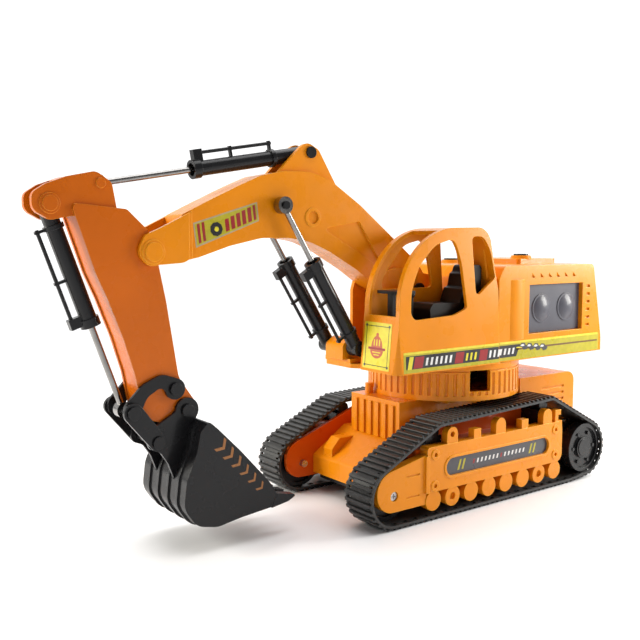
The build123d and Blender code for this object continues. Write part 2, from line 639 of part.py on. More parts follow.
with BuildPart() as house_shell:
    plate(BLOCK_OUTLINE, [0, 0, 2, 4, 4], -HOUSE_Y, HOUSE_Y)
    plan_outline = [(HOUSE_REAR_X, -HOUSE_Y), (3, -HOUSE_Y), (3, HOUSE_Y), (HOUSE_REAR_X, HOUSE_Y)]
    plan_prism(plan_outline, [3, 0, 0, 3], FLOOR_Z, ROOF_Z, Mode.INTERSECT)
    room_outline = [
        (HOUSE_REAR_X + SHELL, FLOOR_Z - 1),
        (2.6 - SHELL, FLOOR_Z - 1),
        (2.6 - SHELL, 157),
        (-4, ROOF_Z - SHELL),
        (-106 + SHELL, ROOF_Z - SHELL),
    ]
    sharp_plate(room_outline, -HOUSE_Y + SHELL + 4, HOUSE_Y - SHELL - 4, Mode.SUBTRACT)
    inner_outline = [
        (HOUSE_REAR_X + SHELL + 5, FLOOR_Z - 1),
        (2.6 - SHELL, FLOOR_Z - 1),
        (2.6 - SHELL, 157),
        (-4, ROOF_Z - SHELL),
        (-106 + SHELL + 5, ROOF_Z - SHELL),
    ]
    sharp_plate(inner_outline, -HOUSE_Y + SHELL, HOUSE_Y - SHELL, Mode.SUBTRACT)
    for side in (1, -1):
        low_y, high_y = sorted((side * (FAN_PANEL_Y - 2.2), side * (HOUSE_Y - 1)))
        block((FAN_X[0] - 2, low_y, FAN_Z[0] - 2), (FAN_X[1] + 2, high_y, FAN_Z[1] + 2))
        low_y, high_y = sorted((side * FAN_PANEL_Y, side * (HOUSE_Y + 1)))
        block((FAN_X[0], low_y, FAN_Z[0]), (FAN_X[1], high_y, FAN_Z[1]), Mode.SUBTRACT)
        # small vents over the fans and slots behind them
        low_y, high_y = sorted((side * (HOUSE_Y - SHELL - 1), side * (HOUSE_Y + 1)))
        vent_depth_y = side * (HOUSE_Y - 1.2)
        low_y, high_y = sorted((vent_depth_y, side * (HOUSE_Y + 1)))
        for vent in range(VENT_COUNT):
            vent_x = -84 + vent * 9.5
            vent_outline = [(vent_x, 158), (vent_x + 4, 158), (vent_x + 4, 161.5)]
            sharp_plate(vent_outline, low_y, high_y, Mode.SUBTRACT)
        for slot in range(VENT_COUNT):
            slot_z = 119 + slot * 6
            block((-102, low_y, slot_z), (-97, high_y, slot_z + 2.2), Mode.SUBTRACT)
        # rounded column in front of the fans
        with BuildSketch(Plane.XY.offset(114)) as bulge:
            with Locations((-17, side * (HOUSE_Y + BULGE_RISE - BULGE_R))):
                Circle(BULGE_R)
            with Locations((-17, side * (HOUSE_Y + 4.8))):
                Rectangle(40, 10, mode=Mode.INTERSECT)
        extrude(bulge.sketch, amount=43)
    # raised plate on the roof, and the rounds that carry the caps
    for x, y, z in ROOF_CAPS:
        with BuildSketch(Plane.XY.offset(z - 0.5)) as dome:
            with Locations((x, y)):
                Circle(CAP_R + 3)
        extrude(dome.sketch, amount=CAP_SEAT + 0.5, taper=22)
    plan_prism([(-95, -24), (-50, -24), (-50, 30), (-95, 30)], [3, 3, 3, 3], ROOF_Z - 1, ROOF_Z + 4)
    add(floor_space.part, mode=Mode.SUBTRACT)

with BuildPart() as left_fan_panel:
    panel_low = (FAN_X[0] + GAP, FAN_PANEL_Y + 0.1, FAN_Z[0] + GAP)
    panel_high = (FAN_X[1] - GAP, FAN_PANEL_Y + 1.6, FAN_Z[1] - GAP)
    block(panel_low, panel_high)
    # two domes, each with a low rim
    dome_r = (FAN_R**2 + FAN_RISE**2) / (2 * FAN_RISE)
    for x, z in FANS:
        cross_bar((x, z), FAN_R + FAN_RIM, FAN_PANEL_Y + 1, FAN_PANEL_Y + 2.2)
        with BuildPart(mode=Mode.PRIVATE) as ball:
            with Locations((x, FAN_PANEL_Y + 2.2 + FAN_RISE - dome_r, z)):
                Sphere(dome_r)
            block((x - 20, FAN_PANEL_Y + 1.2, z - 20), (x + 20, FAN_PANEL_Y + 8, z + 20), Mode.INTERSECT)
            cross_bar((x, z), FAN_R, FAN_PANEL_Y, FAN_PANEL_Y + 9, Mode.INTERSECT)
        add(ball.part)

with BuildPart() as roof_caps:
    for x, y, z in ROOF_CAPS:
        post(x, y, CAP_R, z + CAP_SEAT + 0.05, z + CAP_SEAT + 1.2)

with BuildPart() as front_deck_box:
    box_outline = [(3, -57), (38, -57), (46, -40), (46, -17), (3, -17)]
    room_outline = [(5, -55), (37, -55), (44, -40), (44, -19), (5, -19)]
    plan_prism(box_outline, [0, 5, 4, 2, 0], FLOOR_TOP_Z + 0.1, 126)
    plan_prism(room_outline, [0, 4, 3, 1, 0], FLOOR_TOP_Z, 124, Mode.SUBTRACT)

# ------------------------------------------------------------------ cab
CAB_LEAN = [(CAB_INNER_Y, FLOOR_Z), (59.3, FLOOR_Z), (55.0, 195.0), (CAB_INNER_Y, 195.0)]
WINDOW_ARCH = [(87, 133), (86, 152), (79, 168), (64, 182)]
NEAR_WINDOW = [*WINDOW_ARCH, (46, 186.5), (39.5, 171), (34.5, 139), (47, 134.8)]
NEAR_WINDOW_R = [6, 30, 30, 20, 6, 40, 3, 20]
QUARTER_WINDOW = [(29, 187.5), (18, 188.3), (10.5, 178.5), (6, 159), (25.8, 145.7)]
QUARTER_WINDOW_R = [3, 8, 24, 3, 3]
FAR_WINDOW = [(84, 152), (83, 160), (64, 182), (46, 186), (40, 171), (36, 152)]
FAR_WINDOW_R = [3, 13, 18, 6, 40, 3]


def cab_side(inset, y_low, y_high, mode=Mode.ADD):
    """The cab's side outline as a plate, moved inwards by inset."""
    with BuildSketch(side_plane(y_high)) as outline:
        with BuildLine():
            Polyline((9.5, 182), (5, 158), (3, 150), (3, FLOOR_Z), (100, FLOOR_Z), (97, 134), (96.3, 140))
            ThreePointArc((96.3, 140), (80.5, 178.5), (44, 193.6))
            Line((44, 193.6), (22, 194))
            ThreePointArc((22, 194), (13.4, 190.3), (9.5, 182))
        make_face()
        if inset:
            offset(amount=-inset, kind=Kind.INTERSECTION)
    extrude(outline.sketch, amount=y_high - y_low, mode=mode)


def cab_cross_section(inset, mode=Mode.INTERSECT):
    """Keeps what lies inside the cab's leaning cross-section."""
    section = Plane(origin=(-10, 0, 0), x_dir=(0, 1, 0), z_dir=(1, 0, 0))
    with BuildSketch(section) as outline:
        with BuildLine():
            Polyline(
                (CAB_INNER_Y + inset, FLOOR_Z - 10),
                (59.3 + 0.45 - inset, FLOOR_Z - 10),
                (55.0 - inset, 195.0),
                (CAB_INNER_Y + inset, 195.0),
                close=True,
            )
        make_face()
    extrude(outline.sketch, amount=130, mode=mode)


with BuildPart() as cab_room:
    cab_side(CAB_WALL, CAB_INNER_Y, 60)
    block((3 + CAB_WALL, CAB_INNER_Y, FLOOR_Z - 5), (100 - CAB_WALL, 60, FLOOR_Z + 8))
    cab_cross_section(CAB_WALL)

with BuildPart() as cab_shell:
    cab_side(0, CAB_INNER_Y, 60)
    cab_cross_section(0)
    plan_prism([(0, 20), (100.2, 20), (100.2, 59.4), (0, 59.4)], [0, 0, 7, 0], FLOOR_Z, 195, Mode.INTERSECT)
    add(cab_room.part, mode=Mode.SUBTRACT)
    plate(NEAR_WINDOW, NEAR_WINDOW_R, 50, 61, Mode.SUBTRACT)
    plate(QUARTER_WINDOW, QUARTER_WINDOW_R, 50, 61, Mode.SUBTRACT)
    plate(FAR_WINDOW, FAR_WINDOW_R, 20, 26, Mode.SUBTRACT)
    plate(QUARTER_WINDOW, QUARTER_WINDOW_R, 20, 26, Mode.SUBTRACT)
    screen_plane = Plane(origin=(58, 0, 0), x_dir=(0, 1, 0), z_dir=(1, 0, 0))
    with BuildSketch(screen_plane) as windscreen:
        with BuildLine():
            Polyline((27, 136), (54, 136), (51.5, 200), (27, 200), close=True)
        make_face()
    extrude(windscreen.sketch, amount=50, mode=Mode.SUBTRACT)
    add(floor_space.part, mode=Mode.SUBTRACT)

with BuildPart() as cab_tray:
    block((8, 26, 128), (90, 54.8, 130.8))
    # console: a thin stalk with a narrow shelf
    block((85, 36, 130), (88, 41, 151))
    block((76, 29, 150), (91, 50, 152))

with BuildPart() as seat:
    cushion = [(28, 131), (62, 131), (63, 139), (60, 143), (30, 142)]
    plate(cushion, [0, 2, 3, 2, 0], 30.5, 50.5)
    back_front = [(37, 131), (34, 144), (31, 152), (27.5, 153), (25.5, 162), (23, 163), (21, 168)]
    plate([(14, 131), *back_front, (13, 168)], [1, 0, 4, 2, 2, 2, 2, 3, 3], 31, 50)

with BuildPart() as control_levers:
    for lever_y in (33, 42):
        post(72, lever_y, 1.3, 130.9, 148)
        with Locations((72, lever_y, 149)):
            Sphere(2.4)

# ------------------------------------------------------------------ boom bracket and inside of the house
with BuildPart() as boom_bracket:
    block((15, -14, FLOOR_TOP_Z + 0.1), (102, 14, 104.7))
    cheek_outline = [(18, 104), (80, 104), (80, 150), (76, 163), (60, 166), (25, 160)]
    plate(cheek_outline, [0, 0, 4, 3, 6, 8], CHEEK_Y, CHEEK_Y + 3)
    plate(cheek_outline, [0, 0, 4, 3, 6, 8], -CHEEK_Y - 3, -CHEEK_Y)
    block((18, -CHEEK_Y - 1, 104), (21, CHEEK_Y + 1, 128))
    lug_outline = [(84, 104), (105, 104), (105, 114), (98, 119), (88, 117)]
    plate(lug_outline, [0, 0, 4, 5, 4], -9.5, 9.5)
    cross_bar(BOOM_FOOT, MAIN_PIN_R + FIT, -20, 20, Mode.SUBTRACT)
    cross_bar(BOOM_CYLINDER_BASE, PIN_R + FIT, -20, 20, Mode.SUBTRACT)

with BuildPart() as house_pins:
    cross_bar(BOOM_FOOT, MAIN_PIN_R, -15, 15)
    cross_bar(BOOM_CYLINDER_BASE, PIN_R, -21.3, 21.3)
    for side_y in (-16.5, 15.0):
        cross_bar(BOOM_FOOT, MAIN_PIN_R + 1.8, side_y, side_y + 1.5)

with BuildPart() as slew_motor:
    post(-42, 0, 12, FLOOR_TOP_Z + 0.1, 122)
    post(-42, 0, 14, FLOOR_TOP_Z + 0.1, 106)
    post(-42, 0, 1.5, 121, 126)

with BuildPart() as circuit_board:
    block((-104, -26, 108), (-62, 26, 109.6))
    block((-96, -18, 109), (-84, -6, 112))
    block((-80, 4, 109), (-70, 18, 113))
    for x, y in ((-101, -23), (-65, -23), (-101, 23), (-65, 23)):
        post(x, y, 2, FLOOR_TOP_Z + 0.1, 108.5)

# ------------------------------------------------------------------ boom
BOOM_OUTLINE = [
    (226, 199.8),
    (206.6, 209.1),
    (185.7, 218.7),
    (169.7, 225.5),
    (152.5, 228.8),
    (133, 229.2),
    (116.7, 224.8),
    (91.1, 209.1),
    (59, 185.4),
    (36, 168),
    (25, 152),
    (30, 139),
    (42, 136),
    (58, 142),
    (93.5, 165),
    (116.6, 177.5),
    (133, 184.1),
    (148.8, 186.6),
    (170.1, 186.6),
    (193.2, 181.7),
    (213.8, 175.2),
    (226, 172.6),
]
BOOM_RADII = [3, 30, 30, 25, 25, 25, 25, 40, 30, 14, 9, 6, 8, 14, 25, 30, 30, 25, 30, 30, 20, 3]
TIP_ROUND = [(241, 171), (248, 170), (255, 178), (250, 188), (240, 192.3)]
BOOM_TIP = [(222, 174), (226, 172), *TIP_ROUND, (222, 201)]
BOOM_TIP_RADII = [0, 8, 8, 6, 7, 6, 8, 0]
BOOM_EAR = [(110, 222), (124, 244), (134, 249), (143, 241), (160, 224)]
BOOM_EAR_RADII = [0, 8, 7, 6, 0]
ARM_WALL = 2.2
EAR_INNER_Y = 5.0
EAR_OUTER_Y = 8.0
RING_BOSS = (130.6, 200.0)

with BuildPart() as boom_left_shell:
    plate(BOOM_OUTLINE, BOOM_RADII, 0, ARM_Y)
    inset_plate(BOOM_OUTLINE, BOOM_RADII, ARM_WALL, -1, ARM_Y - ARM_WALL, Mode.SUBTRACT)
    plate(BOOM_EAR, BOOM_EAR_RADII, EAR_INNER_Y, EAR_OUTER_Y)
    # cheek that carries the stick pivot
    plate(BOOM_TIP, BOOM_TIP_RADII, CHEEK_Y, CHEEK_Y + 2.5)
    sharp_plate([(219.5, 174.7), (226, 173), (226, 199), (219.5, 202)], ARM_Y - 2, CHEEK_Y + 1.2)
    # posts for the pins
    for place in (BOOM_FOOT, BOOM_CYLINDER_EYE):
        cross_bar(place, MAIN_PIN_R + 2.2, 0, ARM_Y - 1)
    cross_bar(STICK_PIVOT, 7, CHEEK_Y + 1, CHEEK_Y + 3.1)
    cross_bar(STICK_PIVOT, 5.4, CHEEK_Y + 1, CHEEK_Y + 3.9)
    # ring boss and triangular recess on the side
    cross_bar(RING_BOSS, 6.2, ARM_Y - 1, ARM_Y + 0.5)
    cross_bar(RING_BOSS, 4.2, ARM_Y - 0.8, ARM_Y + 1, Mode.SUBTRACT)
    plate([(122.5, 193), (91.5, 198), (69, 164.5)], [1.5, 1.5, 1.5], ARM_Y - 1.3, ARM_Y + 1, Mode.SUBTRACT)
    cross_bar(BOOM_FOOT, MAIN_PIN_R + FIT, -1, ARM_Y + 1, Mode.SUBTRACT)
    cross_bar(BOOM_CYLINDER_EYE, PIN_R + FIT, -1, ARM_Y + 1, Mode.SUBTRACT)
    cross_bar(STICK_CYLINDER_BASE, PIN_R + FIT, -1, ARM_Y, Mode.SUBTRACT)
    cross_bar(STICK_PIVOT, MAIN_PIN_R + FIT, -1, CHEEK_Y + 2, Mode.SUBTRACT)

with BuildPart() as boom_pins:
    cross_bar(STICK_PIVOT, MAIN_PIN_R, -CHEEK_Y - 1.9, CHEEK_Y + 1.9)
    cross_bar(BOOM_CYLINDER_EYE, PIN_R, -20.4, 20.4)
    cross_bar(STICK_CYLINDER_BASE, PIN_R, -9, 9)
    for side_y in (-9.3, 8.1):
        cross_bar(STICK_CYLINDER_BASE, PIN_R + 1.3, side_y, side_y + 1.2)

BOOM_SCREWS = ((204.0, 194.0), (66.0, 177.0))
with BuildPart() as boom_screws:
    for place in BOOM_SCREWS:
        cross_bar(place, SCREW_HEAD_R, -ARM_Y - 0.8, -ARM_Y)

# ------------------------------------------------------------------ stick
STICK_OUTLINE = [
    (289, 205),
    (290.2, 202),
    (278.3, 166.7),
    (271.7, 152),
    (262.9, 129),
    (256.5, 108),
    (253, 90),
    (248, 81),
    (236, 76.5),
    (222, 75.5),
    (216.5, 86),
    (222, 94),
    (229, 104),
    (236.5, 150.6),
    (241.1, 172.7),
    (246, 190),
    (259.4, 202.5),
]
STICK_RADII = [1, 1, 20, 20, 20, 20, 5, 4, 4, 6, 7, 4, 15, 30, 30, 8, 4]
HEAD_OUTLINE = [
    (291, 198),
    (302, 195.8),
    (311.5, 201),
    (311.5, 210),
    (304, 215),
    (292, 219.5),
    (276, 223),
    (267, 217),
    (264, 200),
]
HEAD_RADII = [0, 5, 6, 5, 4, 8, 6, 5, 0]
HEAD_Y = 8.5
SLOT_Y = 5.0

with BuildPart() as stick_left_shell:
    inset_plate(STICK_OUTLINE, STICK_RADII, 0.9, 0, HEAD_Y)
    plate(STICK_OUTLINE, STICK_RADII, HEAD_Y, ARM_Y)
    plate(HEAD_OUTLINE, HEAD_RADII, 0, HEAD_Y)
    inset_plate(STICK_OUTLINE, STICK_RADII, 3.2, -1, HEAD_Y - 1, Mode.SUBTRACT)
    # slots for the two cylinders' eyes
    rod_slot = [(282, 200), (282, 226), (258, 226), (258, 208.5), (270, 208.5)]
    barrel_slot = [(293, 190), (316, 190), (316, 218), (295, 218)]
    sharp_plate(rod_slot, -1, SLOT_Y, Mode.SUBTRACT)
    plate(barrel_slot, [0, 0, 0, 6], -1, SLOT_Y + GAP, Mode.SUBTRACT)
    for place in (STICK_PIVOT, ROCKER_PIVOT, BUCKET_PIVOT):
        cross_bar(place, MAIN_PIN_R + 2.2, 0, HEAD_Y)
    # ring boss and cap over the ends of the head's two pins
    cross_bar(BUCKET_CYLINDER_BASE, 5.6, HEAD_Y - 1, HEAD_Y + 0.7)
    cross_bar(BUCKET_CYLINDER_BASE, 4.2, HEAD_Y - 1, HEAD_Y + 1.4)
    cross_bar(STICK_CYLINDER_EYE, 2.8, HEAD_Y - 1, HEAD_Y + 0.8)
    cross_bar(STICK_PIVOT, MAIN_PIN_R + FIT, -1, ARM_Y + 1, Mode.SUBTRACT)
    for place in (ROCKER_PIVOT, BUCKET_PIVOT):
        cross_bar(place, PIN_R + FIT, -1, ARM_Y + 1, Mode.SUBTRACT)
    for place in (STICK_CYLINDER_EYE, BUCKET_CYLINDER_BASE):
        cross_bar(place, PIN_R + FIT, -1, HEAD_Y - 0.5, Mode.SUBTRACT)

with BuildPart() as stick_pins:
    for place in (STICK_CYLINDER_EYE, BUCKET_CYLINDER_BASE):
        cross_bar(place, PIN_R, -HEAD_Y + 0.6, HEAD_Y - 0.6)
    for place in (ROCKER_PIVOT, BUCKET_PIVOT):
        cross_bar(place, PIN_R, -13.6, 13.6)
        for side_y in (-14.9, 13.3):
            cross_bar(place, PIN_R + 1.3, side_y, side_y + 1.6)

STICK_SCREWS = ((268.0, 160.0), (244.0, 118.0))
with BuildPart() as stick_screws:
    for place in STICK_SCREWS:
        cross_bar(place, SCREW_HEAD_R, -ARM_Y - 0.8, -ARM_Y)

# ------------------------------------------------------------------ bucket and its linkage
EAR_Y = (CHEEK_Y, CHEEK_Y + 2.2)
LINK_Y = (EAR_Y[1] + GAP, EAR_Y[1] + GAP + 2.2)
BUCKET_SIDE = [
    (224.5, 74),
    (219, 79.5),
    (213.8, 75),
    (198.2, 59.4),
    (176.9, 36),
    (172, 28),
    (175.5, 19.8),
    (198.7, 17.4),
    (214, 14.9),
    (228, 18),
    (236, 30),
    (234, 46),
    (227, 62),
]
BUCKET_SIDE_RADII = [3, 2, 8, 30, 30, 3, 2, 30, 12, 12, 12, 20, 20]
BUCKET_WALL = 2.0
STICK_TIP_REACH = 9.9  # the stick's tip turns inside this radius about the bucket's pivot

with BuildPart() as bucket_shell:
    plate(BUCKET_SIDE, BUCKET_SIDE_RADII, -BUCKET_Y, BUCKET_Y)
    # the room inside, open along the mouth
    room_y = BUCKET_Y - BUCKET_WALL
    inset_plate(BUCKET_SIDE, BUCKET_SIDE_RADII, BUCKET_WALL, -room_y, room_y, Mode.SUBTRACT)
    mouth = [(221.5, 71), (214.5, 82), (160, 30), (173.5, 22.2), (186, 24), (218, 56)]
    sharp_plate(mouth, -room_y, room_y, Mode.SUBTRACT)
    # ribs round the back
    for rib_y in (-19, -6.5, 6.5, 19):
        with BuildSketch(side_plane(rib_y + 1.2)) as rib:
            with BuildLine():
                FilletPolyline(*BUCKET_SIDE, radius=BUCKET_SIDE_RADII, close=True)
            make_face()
            offset(amount=1.0, kind=Kind.INTERSECTION)
            with BuildLine():
                FilletPolyline(*BUCKET_SIDE, radius=BUCKET_SIDE_RADII, close=True)
            make_face(mode=Mode.SUBTRACT)
            with BuildLine():
                Polyline((160, 90), (160, 17), (186, 17), (186, 40), (222, 66), (222, 90), close=True)
            make_face(mode=Mode.SUBTRACT)
        extrude(rib.sketch, amount=2.4)
    # room for the stick's tip, through the ribs as well
    cross_bar(BUCKET_PIVOT, STICK_TIP_REACH, -CHEEK_Y, CHEEK_Y, Mode.SUBTRACT)

TEETH_COUNT = 5
with BuildPart() as bucket_teeth:
    for number in range(TEETH_COUNT):
        tooth_y = (number - (TEETH_COUNT - 1) / 2) * 12.6
        tooth = [(155.7, 24.4), (163, 21.0), (175.2, 19.0), (171.9, 27.6)]
        plate(tooth, [1, 0, 0, 0], tooth_y - 3, tooth_y + 3)
    add(bucket_shell.part, mode=Mode.SUBTRACT)

EAR_OUTLINE = [
    (218.5, 84.5),
    (221, 91),
    (229, 91),
    (233, 84),
    (250, 74.5),
    (251, 64.5),
    (243, 61.5),
    (238, 54),
    (233.5, 42),
    (226, 50),
    (221, 66),
]
EAR_RADII = [4, 5, 5, 6, 5, 5, 6, 5, 1, 4, 6]
with BuildPart() as bucket_ears:
    plate(EAR_OUTLINE, EAR_RADII, *EAR_Y)
    cross_bar(BUCKET_PIVOT, 7.5, *EAR_Y)
    mirror(about=Plane.XZ)
    plate(BUCKET_SIDE, BUCKET_SIDE_RADII, -BUCKET_Y, BUCKET_Y, Mode.SUBTRACT)
    for place in (BUCKET_PIVOT, BUCKET_LINK_EYE):
        cross_bar(place, PIN_R + FIT, -20, 20, Mode.SUBTRACT)

with BuildPart() as bucket_pin:
    cross_bar(BUCKET_LINK_EYE, PIN_R, -16.2, 16.2)
    for side_y in (-17.0, 15.8):
        cross_bar(BUCKET_LINK_EYE, PIN_R + 1.3, side_y, side_y + 1.2)

OPEN_PIVOT_PLAY = 0.65
with BuildPart() as bucket_link:
    with BuildSketch(side_plane(LINK_Y[1])) as link_outline:
        with Locations(LINK_PIVOT):
            Circle(5.8)
        with Locations(BUCKET_LINK_EYE):
            Circle(5.2)
        make_hull()
    extrude(link_outline.sketch, amount=LINK_Y[1] - LINK_Y[0])
    mirror(about=Plane.XZ)
    cross_bar(LINK_PIVOT, PIN_R + OPEN_PIVOT_PLAY, -20, 20, Mode.SUBTRACT)
    cross_bar(BUCKET_LINK_EYE, PIN_R + FIT, -20, 20, Mode.SUBTRACT)

ROCKER_OUTLINE = [
    (228, 97),
    (231.5, 104.5),
    (241, 107.5),
    (253, 102.5),
    (264.5, 91),
    (264.5, 82.5),
    (256.5, 82.5),
    (250.5, 95),
    (241, 100.5),
    (236.5, 93.5),
    (229.5, 93),
]
ROCKER_RADII = [3, 5, 8, 8, 5, 4, 4, 8, 4, 3, 3]
with BuildPart() as rocker_arms:
    plate(ROCKER_OUTLINE, ROCKER_RADII, *EAR_Y)
    cross_bar(ROCKER_PIVOT, 6.3, *EAR_Y)
    mirror(about=Plane.XZ)
    for place in (ROCKER_PIVOT, LINK_PIVOT):
        cross_bar(place, PIN_R + FIT, -20, 20, Mode.SUBTRACT)

with BuildPart() as rocker_pin:
    cross_bar(LINK_PIVOT, PIN_R, -16.2, 16.2)
    for side_y in (-17.0, 15.8):
        cross_bar(LINK_PIVOT, PIN_R + 1.5, side_y, side_y + 1.2)

# ------------------------------------------------------------------ cylinders
PIPE_R = 1.1
PIPE_OFFSET = 9.4  # from the barrel's axis to the pipe's
COLLAR_R = 5.8
COLLAR_WIDTH = 2.5
BORE_START = 9.0


def pipe_lug(base, eye, y, distance, thickness, width, inner, outer, pipe_side):
    """Block on the line from base to eye that reaches sideways from inner to outer."""
    dx, dz = lean(base, eye)
    x, z = toward(base, eye, distance)
    middle = pipe_side * (inner + outer) / 2
    lug_plane = Plane(origin=(x + dz * middle, y, z - dx * middle), x_dir=(0, 1, 0), z_dir=(dx, 0, dz))
    with BuildSketch(lug_plane) as outline:
        Rectangle(width, outer - inner)
    extrude(outline.sketch, amount=thickness)


def barrel(base, eye, y, length, eye_half, first_collar=12.0, pipe_side=1):
    """Cylinder barrel: a pin eye, a hollow tube with collars, and a feed pipe on lugs beside it."""
    radius = min(BARREL_R, eye_half)
    with BuildPart() as piece:
        rod_along(base, eye, y, 0, length, radius)
        cross_bar(base, 5.2, y - eye_half, y + eye_half)
        rod_along(base, eye, y, length - 5, length, COLLAR_R)
        rod_along(base, eye, y, first_collar, first_collar + COLLAR_WIDTH, COLLAR_R)
        rod_along(base, eye, y, first_collar, length - 3, PIPE_R, aside=pipe_side * PIPE_OFFSET)
        lug_foot = radius - 0.5
        for distance in (first_collar + 0.6, (first_collar + length) / 2):
            pipe_lug(base, eye, y, distance, 1.6, 2.2, lug_foot, PIPE_OFFSET + 1.6, pipe_side)
        pipe_lug(base, eye, y, length - 8, 6, 4.6, lug_foot, PIPE_OFFSET + 2.2, pipe_side)
        rod_along(base, eye, y, BORE_START, length + 1, BARREL_BORE_R, Mode.SUBTRACT)
        cross_bar(base, PIN_R + FIT, y - 8, y + 8, Mode.SUBTRACT)
    return piece


def rod(base, eye, y, length, eye_half, eye_radius):
    """Cylinder rod with its eye."""
    with BuildPart() as piece:
        rod_along(eye, base, y, 0, length, ROD_R)
        cross_bar(eye, eye_radius, y - eye_half, y + eye_half)
        cross_bar(eye, PIN_R + FIT, y - 8, y + 8, Mode.SUBTRACT)
    return piece


BOOM_BARREL_LENGTH = 70.0
BOOM_ROD_LENGTH = 95.0
STICK_BARREL_LENGTH = 84.0
STICK_ROD_LENGTH = 98.0
BUCKET_BARREL_LENGTH = 72.0
BUCKET_ROD_LENGTH = 104.0
EYE_R = 5.4

STICK_BARREL_COLLAR = 25.0  # clear of the boom's ears
boom_line = (BOOM_CYLINDER_BASE, BOOM_CYLINDER_EYE)
stick_line = (STICK_CYLINDER_BASE, STICK_CYLINDER_EYE)
bucket_line = (BUCKET_CYLINDER_BASE, LINK_PIVOT)
left_boom_barrel = barrel(*boom_line, BOOM_CYLINDER_Y, BOOM_BARREL_LENGTH, 4.8)
left_boom_rod = rod(*boom_line, BOOM_CYLINDER_Y, BOOM_ROD_LENGTH, 3.0, EYE_R)
stick_barrel = barrel(*stick_line, 0, STICK_BARREL_LENGTH, EAR_INNER_Y - GAP, STICK_BARREL_COLLAR, -1)
stick_rod = rod(*stick_line, 0, STICK_ROD_LENGTH, 4.4, EYE_R)
bucket_barrel = barrel(*bucket_line, 0, BUCKET_BARREL_LENGTH, SLOT_Y - GAP, pipe_side=-1)
bucket_rod = rod(*bucket_line, 0, BUCKET_ROD_LENGTH, 3.2, 4.8)

PIECES = {
    "chassis_deck": chassis_deck,
    "chassis_base": chassis_base,
    "undercarriage_screws": undercarriage_screws,
    "turntable_drum": turntable_drum,
    "battery_box": battery_box,
    "battery_cells": battery_cells,
    "battery_door": battery_door,
    "power_switch_body": power_switch_body,
    "power_switch_slider": power_switch_slider,
    "left_track_cover": left_track_cover,
    "right_track_cover": mirrored(left_track_cover),
    "left_track_frame": left_track_frame,
    "right_track_frame": mirrored(left_track_frame),
    "left_track_belt": left_track_belt,
    "right_track_belt": mirrored(left_track_belt),
    "carrier_blocks": carrier_blocks,
    "drive_gearboxes": drive_gearboxes,
    "idler_axles": idler_axles,
    "left_sprocket": left_sprocket,
    "right_sprocket": mirrored(left_sprocket),
    "left_idler": left_idler,
    "right_idler": mirrored(left_idler),
    "house_floor": house_floor,
    "slew_retainer": slew_retainer,
    "house_shell": house_shell,
    "left_fan_panel": left_fan_panel,
    "right_fan_panel": mirrored(left_fan_panel),
    "roof_caps": roof_caps,
    "front_deck_box": front_deck_box,
    "cab_shell": cab_shell,
    "cab_tray": cab_tray,
    "seat": seat,
    "control_levers": control_levers,
    "boom_bracket": boom_bracket,
    "house_pins": house_pins,
    "slew_motor": slew_motor,
    "circuit_board": circuit_board,
    "boom_left_shell": boom_left_shell,
    "boom_right_shell": mirrored(boom_left_shell),
    "boom_pins": boom_pins,
    "boom_screws": boom_screws,
    "stick_left_shell": stick_left_shell,
    "stick_right_shell": mirrored(stick_left_shell),
    "stick_pins": stick_pins,
    "stick_screws": stick_screws,
    "rocker_arms": rocker_arms,
    "rocker_pin": rocker_pin,
    "bucket_link": bucket_link,
    "bucket_shell": bucket_shell,
    "bucket_teeth": bucket_teeth,
    "bucket_ears": bucket_ears,
    "bucket_pin": bucket_pin,
    "left_boom_barrel": left_boom_barrel,
    "right_boom_barrel": mirrored(left_boom_barrel),
    "left_boom_rod": left_boom_rod,
    "right_boom_rod": mirrored(left_boom_rod),
    "stick_barrel": stick_barrel,
    "stick_rod": stick_rod,
    "bucket_barrel": bucket_barrel,
    "bucket_rod": bucket_rod,
}

for name, piece in PIECES.items():
    piece.part.label = name
    export_step(piece.part, f"parts/{name}.step")
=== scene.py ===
import math

import bmesh
import bpy
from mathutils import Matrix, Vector


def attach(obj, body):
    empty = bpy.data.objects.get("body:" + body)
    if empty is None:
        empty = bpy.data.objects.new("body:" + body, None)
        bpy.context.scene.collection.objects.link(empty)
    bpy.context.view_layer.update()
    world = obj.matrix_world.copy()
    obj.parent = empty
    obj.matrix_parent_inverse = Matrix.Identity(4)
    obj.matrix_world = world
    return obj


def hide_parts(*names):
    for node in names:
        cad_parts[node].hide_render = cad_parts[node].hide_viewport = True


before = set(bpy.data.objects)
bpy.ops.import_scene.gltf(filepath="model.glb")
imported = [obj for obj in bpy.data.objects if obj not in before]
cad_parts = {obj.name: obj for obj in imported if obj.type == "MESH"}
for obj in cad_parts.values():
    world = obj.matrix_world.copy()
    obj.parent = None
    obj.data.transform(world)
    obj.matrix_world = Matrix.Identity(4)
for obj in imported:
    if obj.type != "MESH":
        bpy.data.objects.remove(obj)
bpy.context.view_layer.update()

# The looks of a toy excavator: materials, track belts, stickers, floor, lights and camera.
# Distances are written in millimetres and turned into metres by MM.
# +X is forward, +Y is the cab side and +Z is up, as in the CAD frame.

MM = 0.001

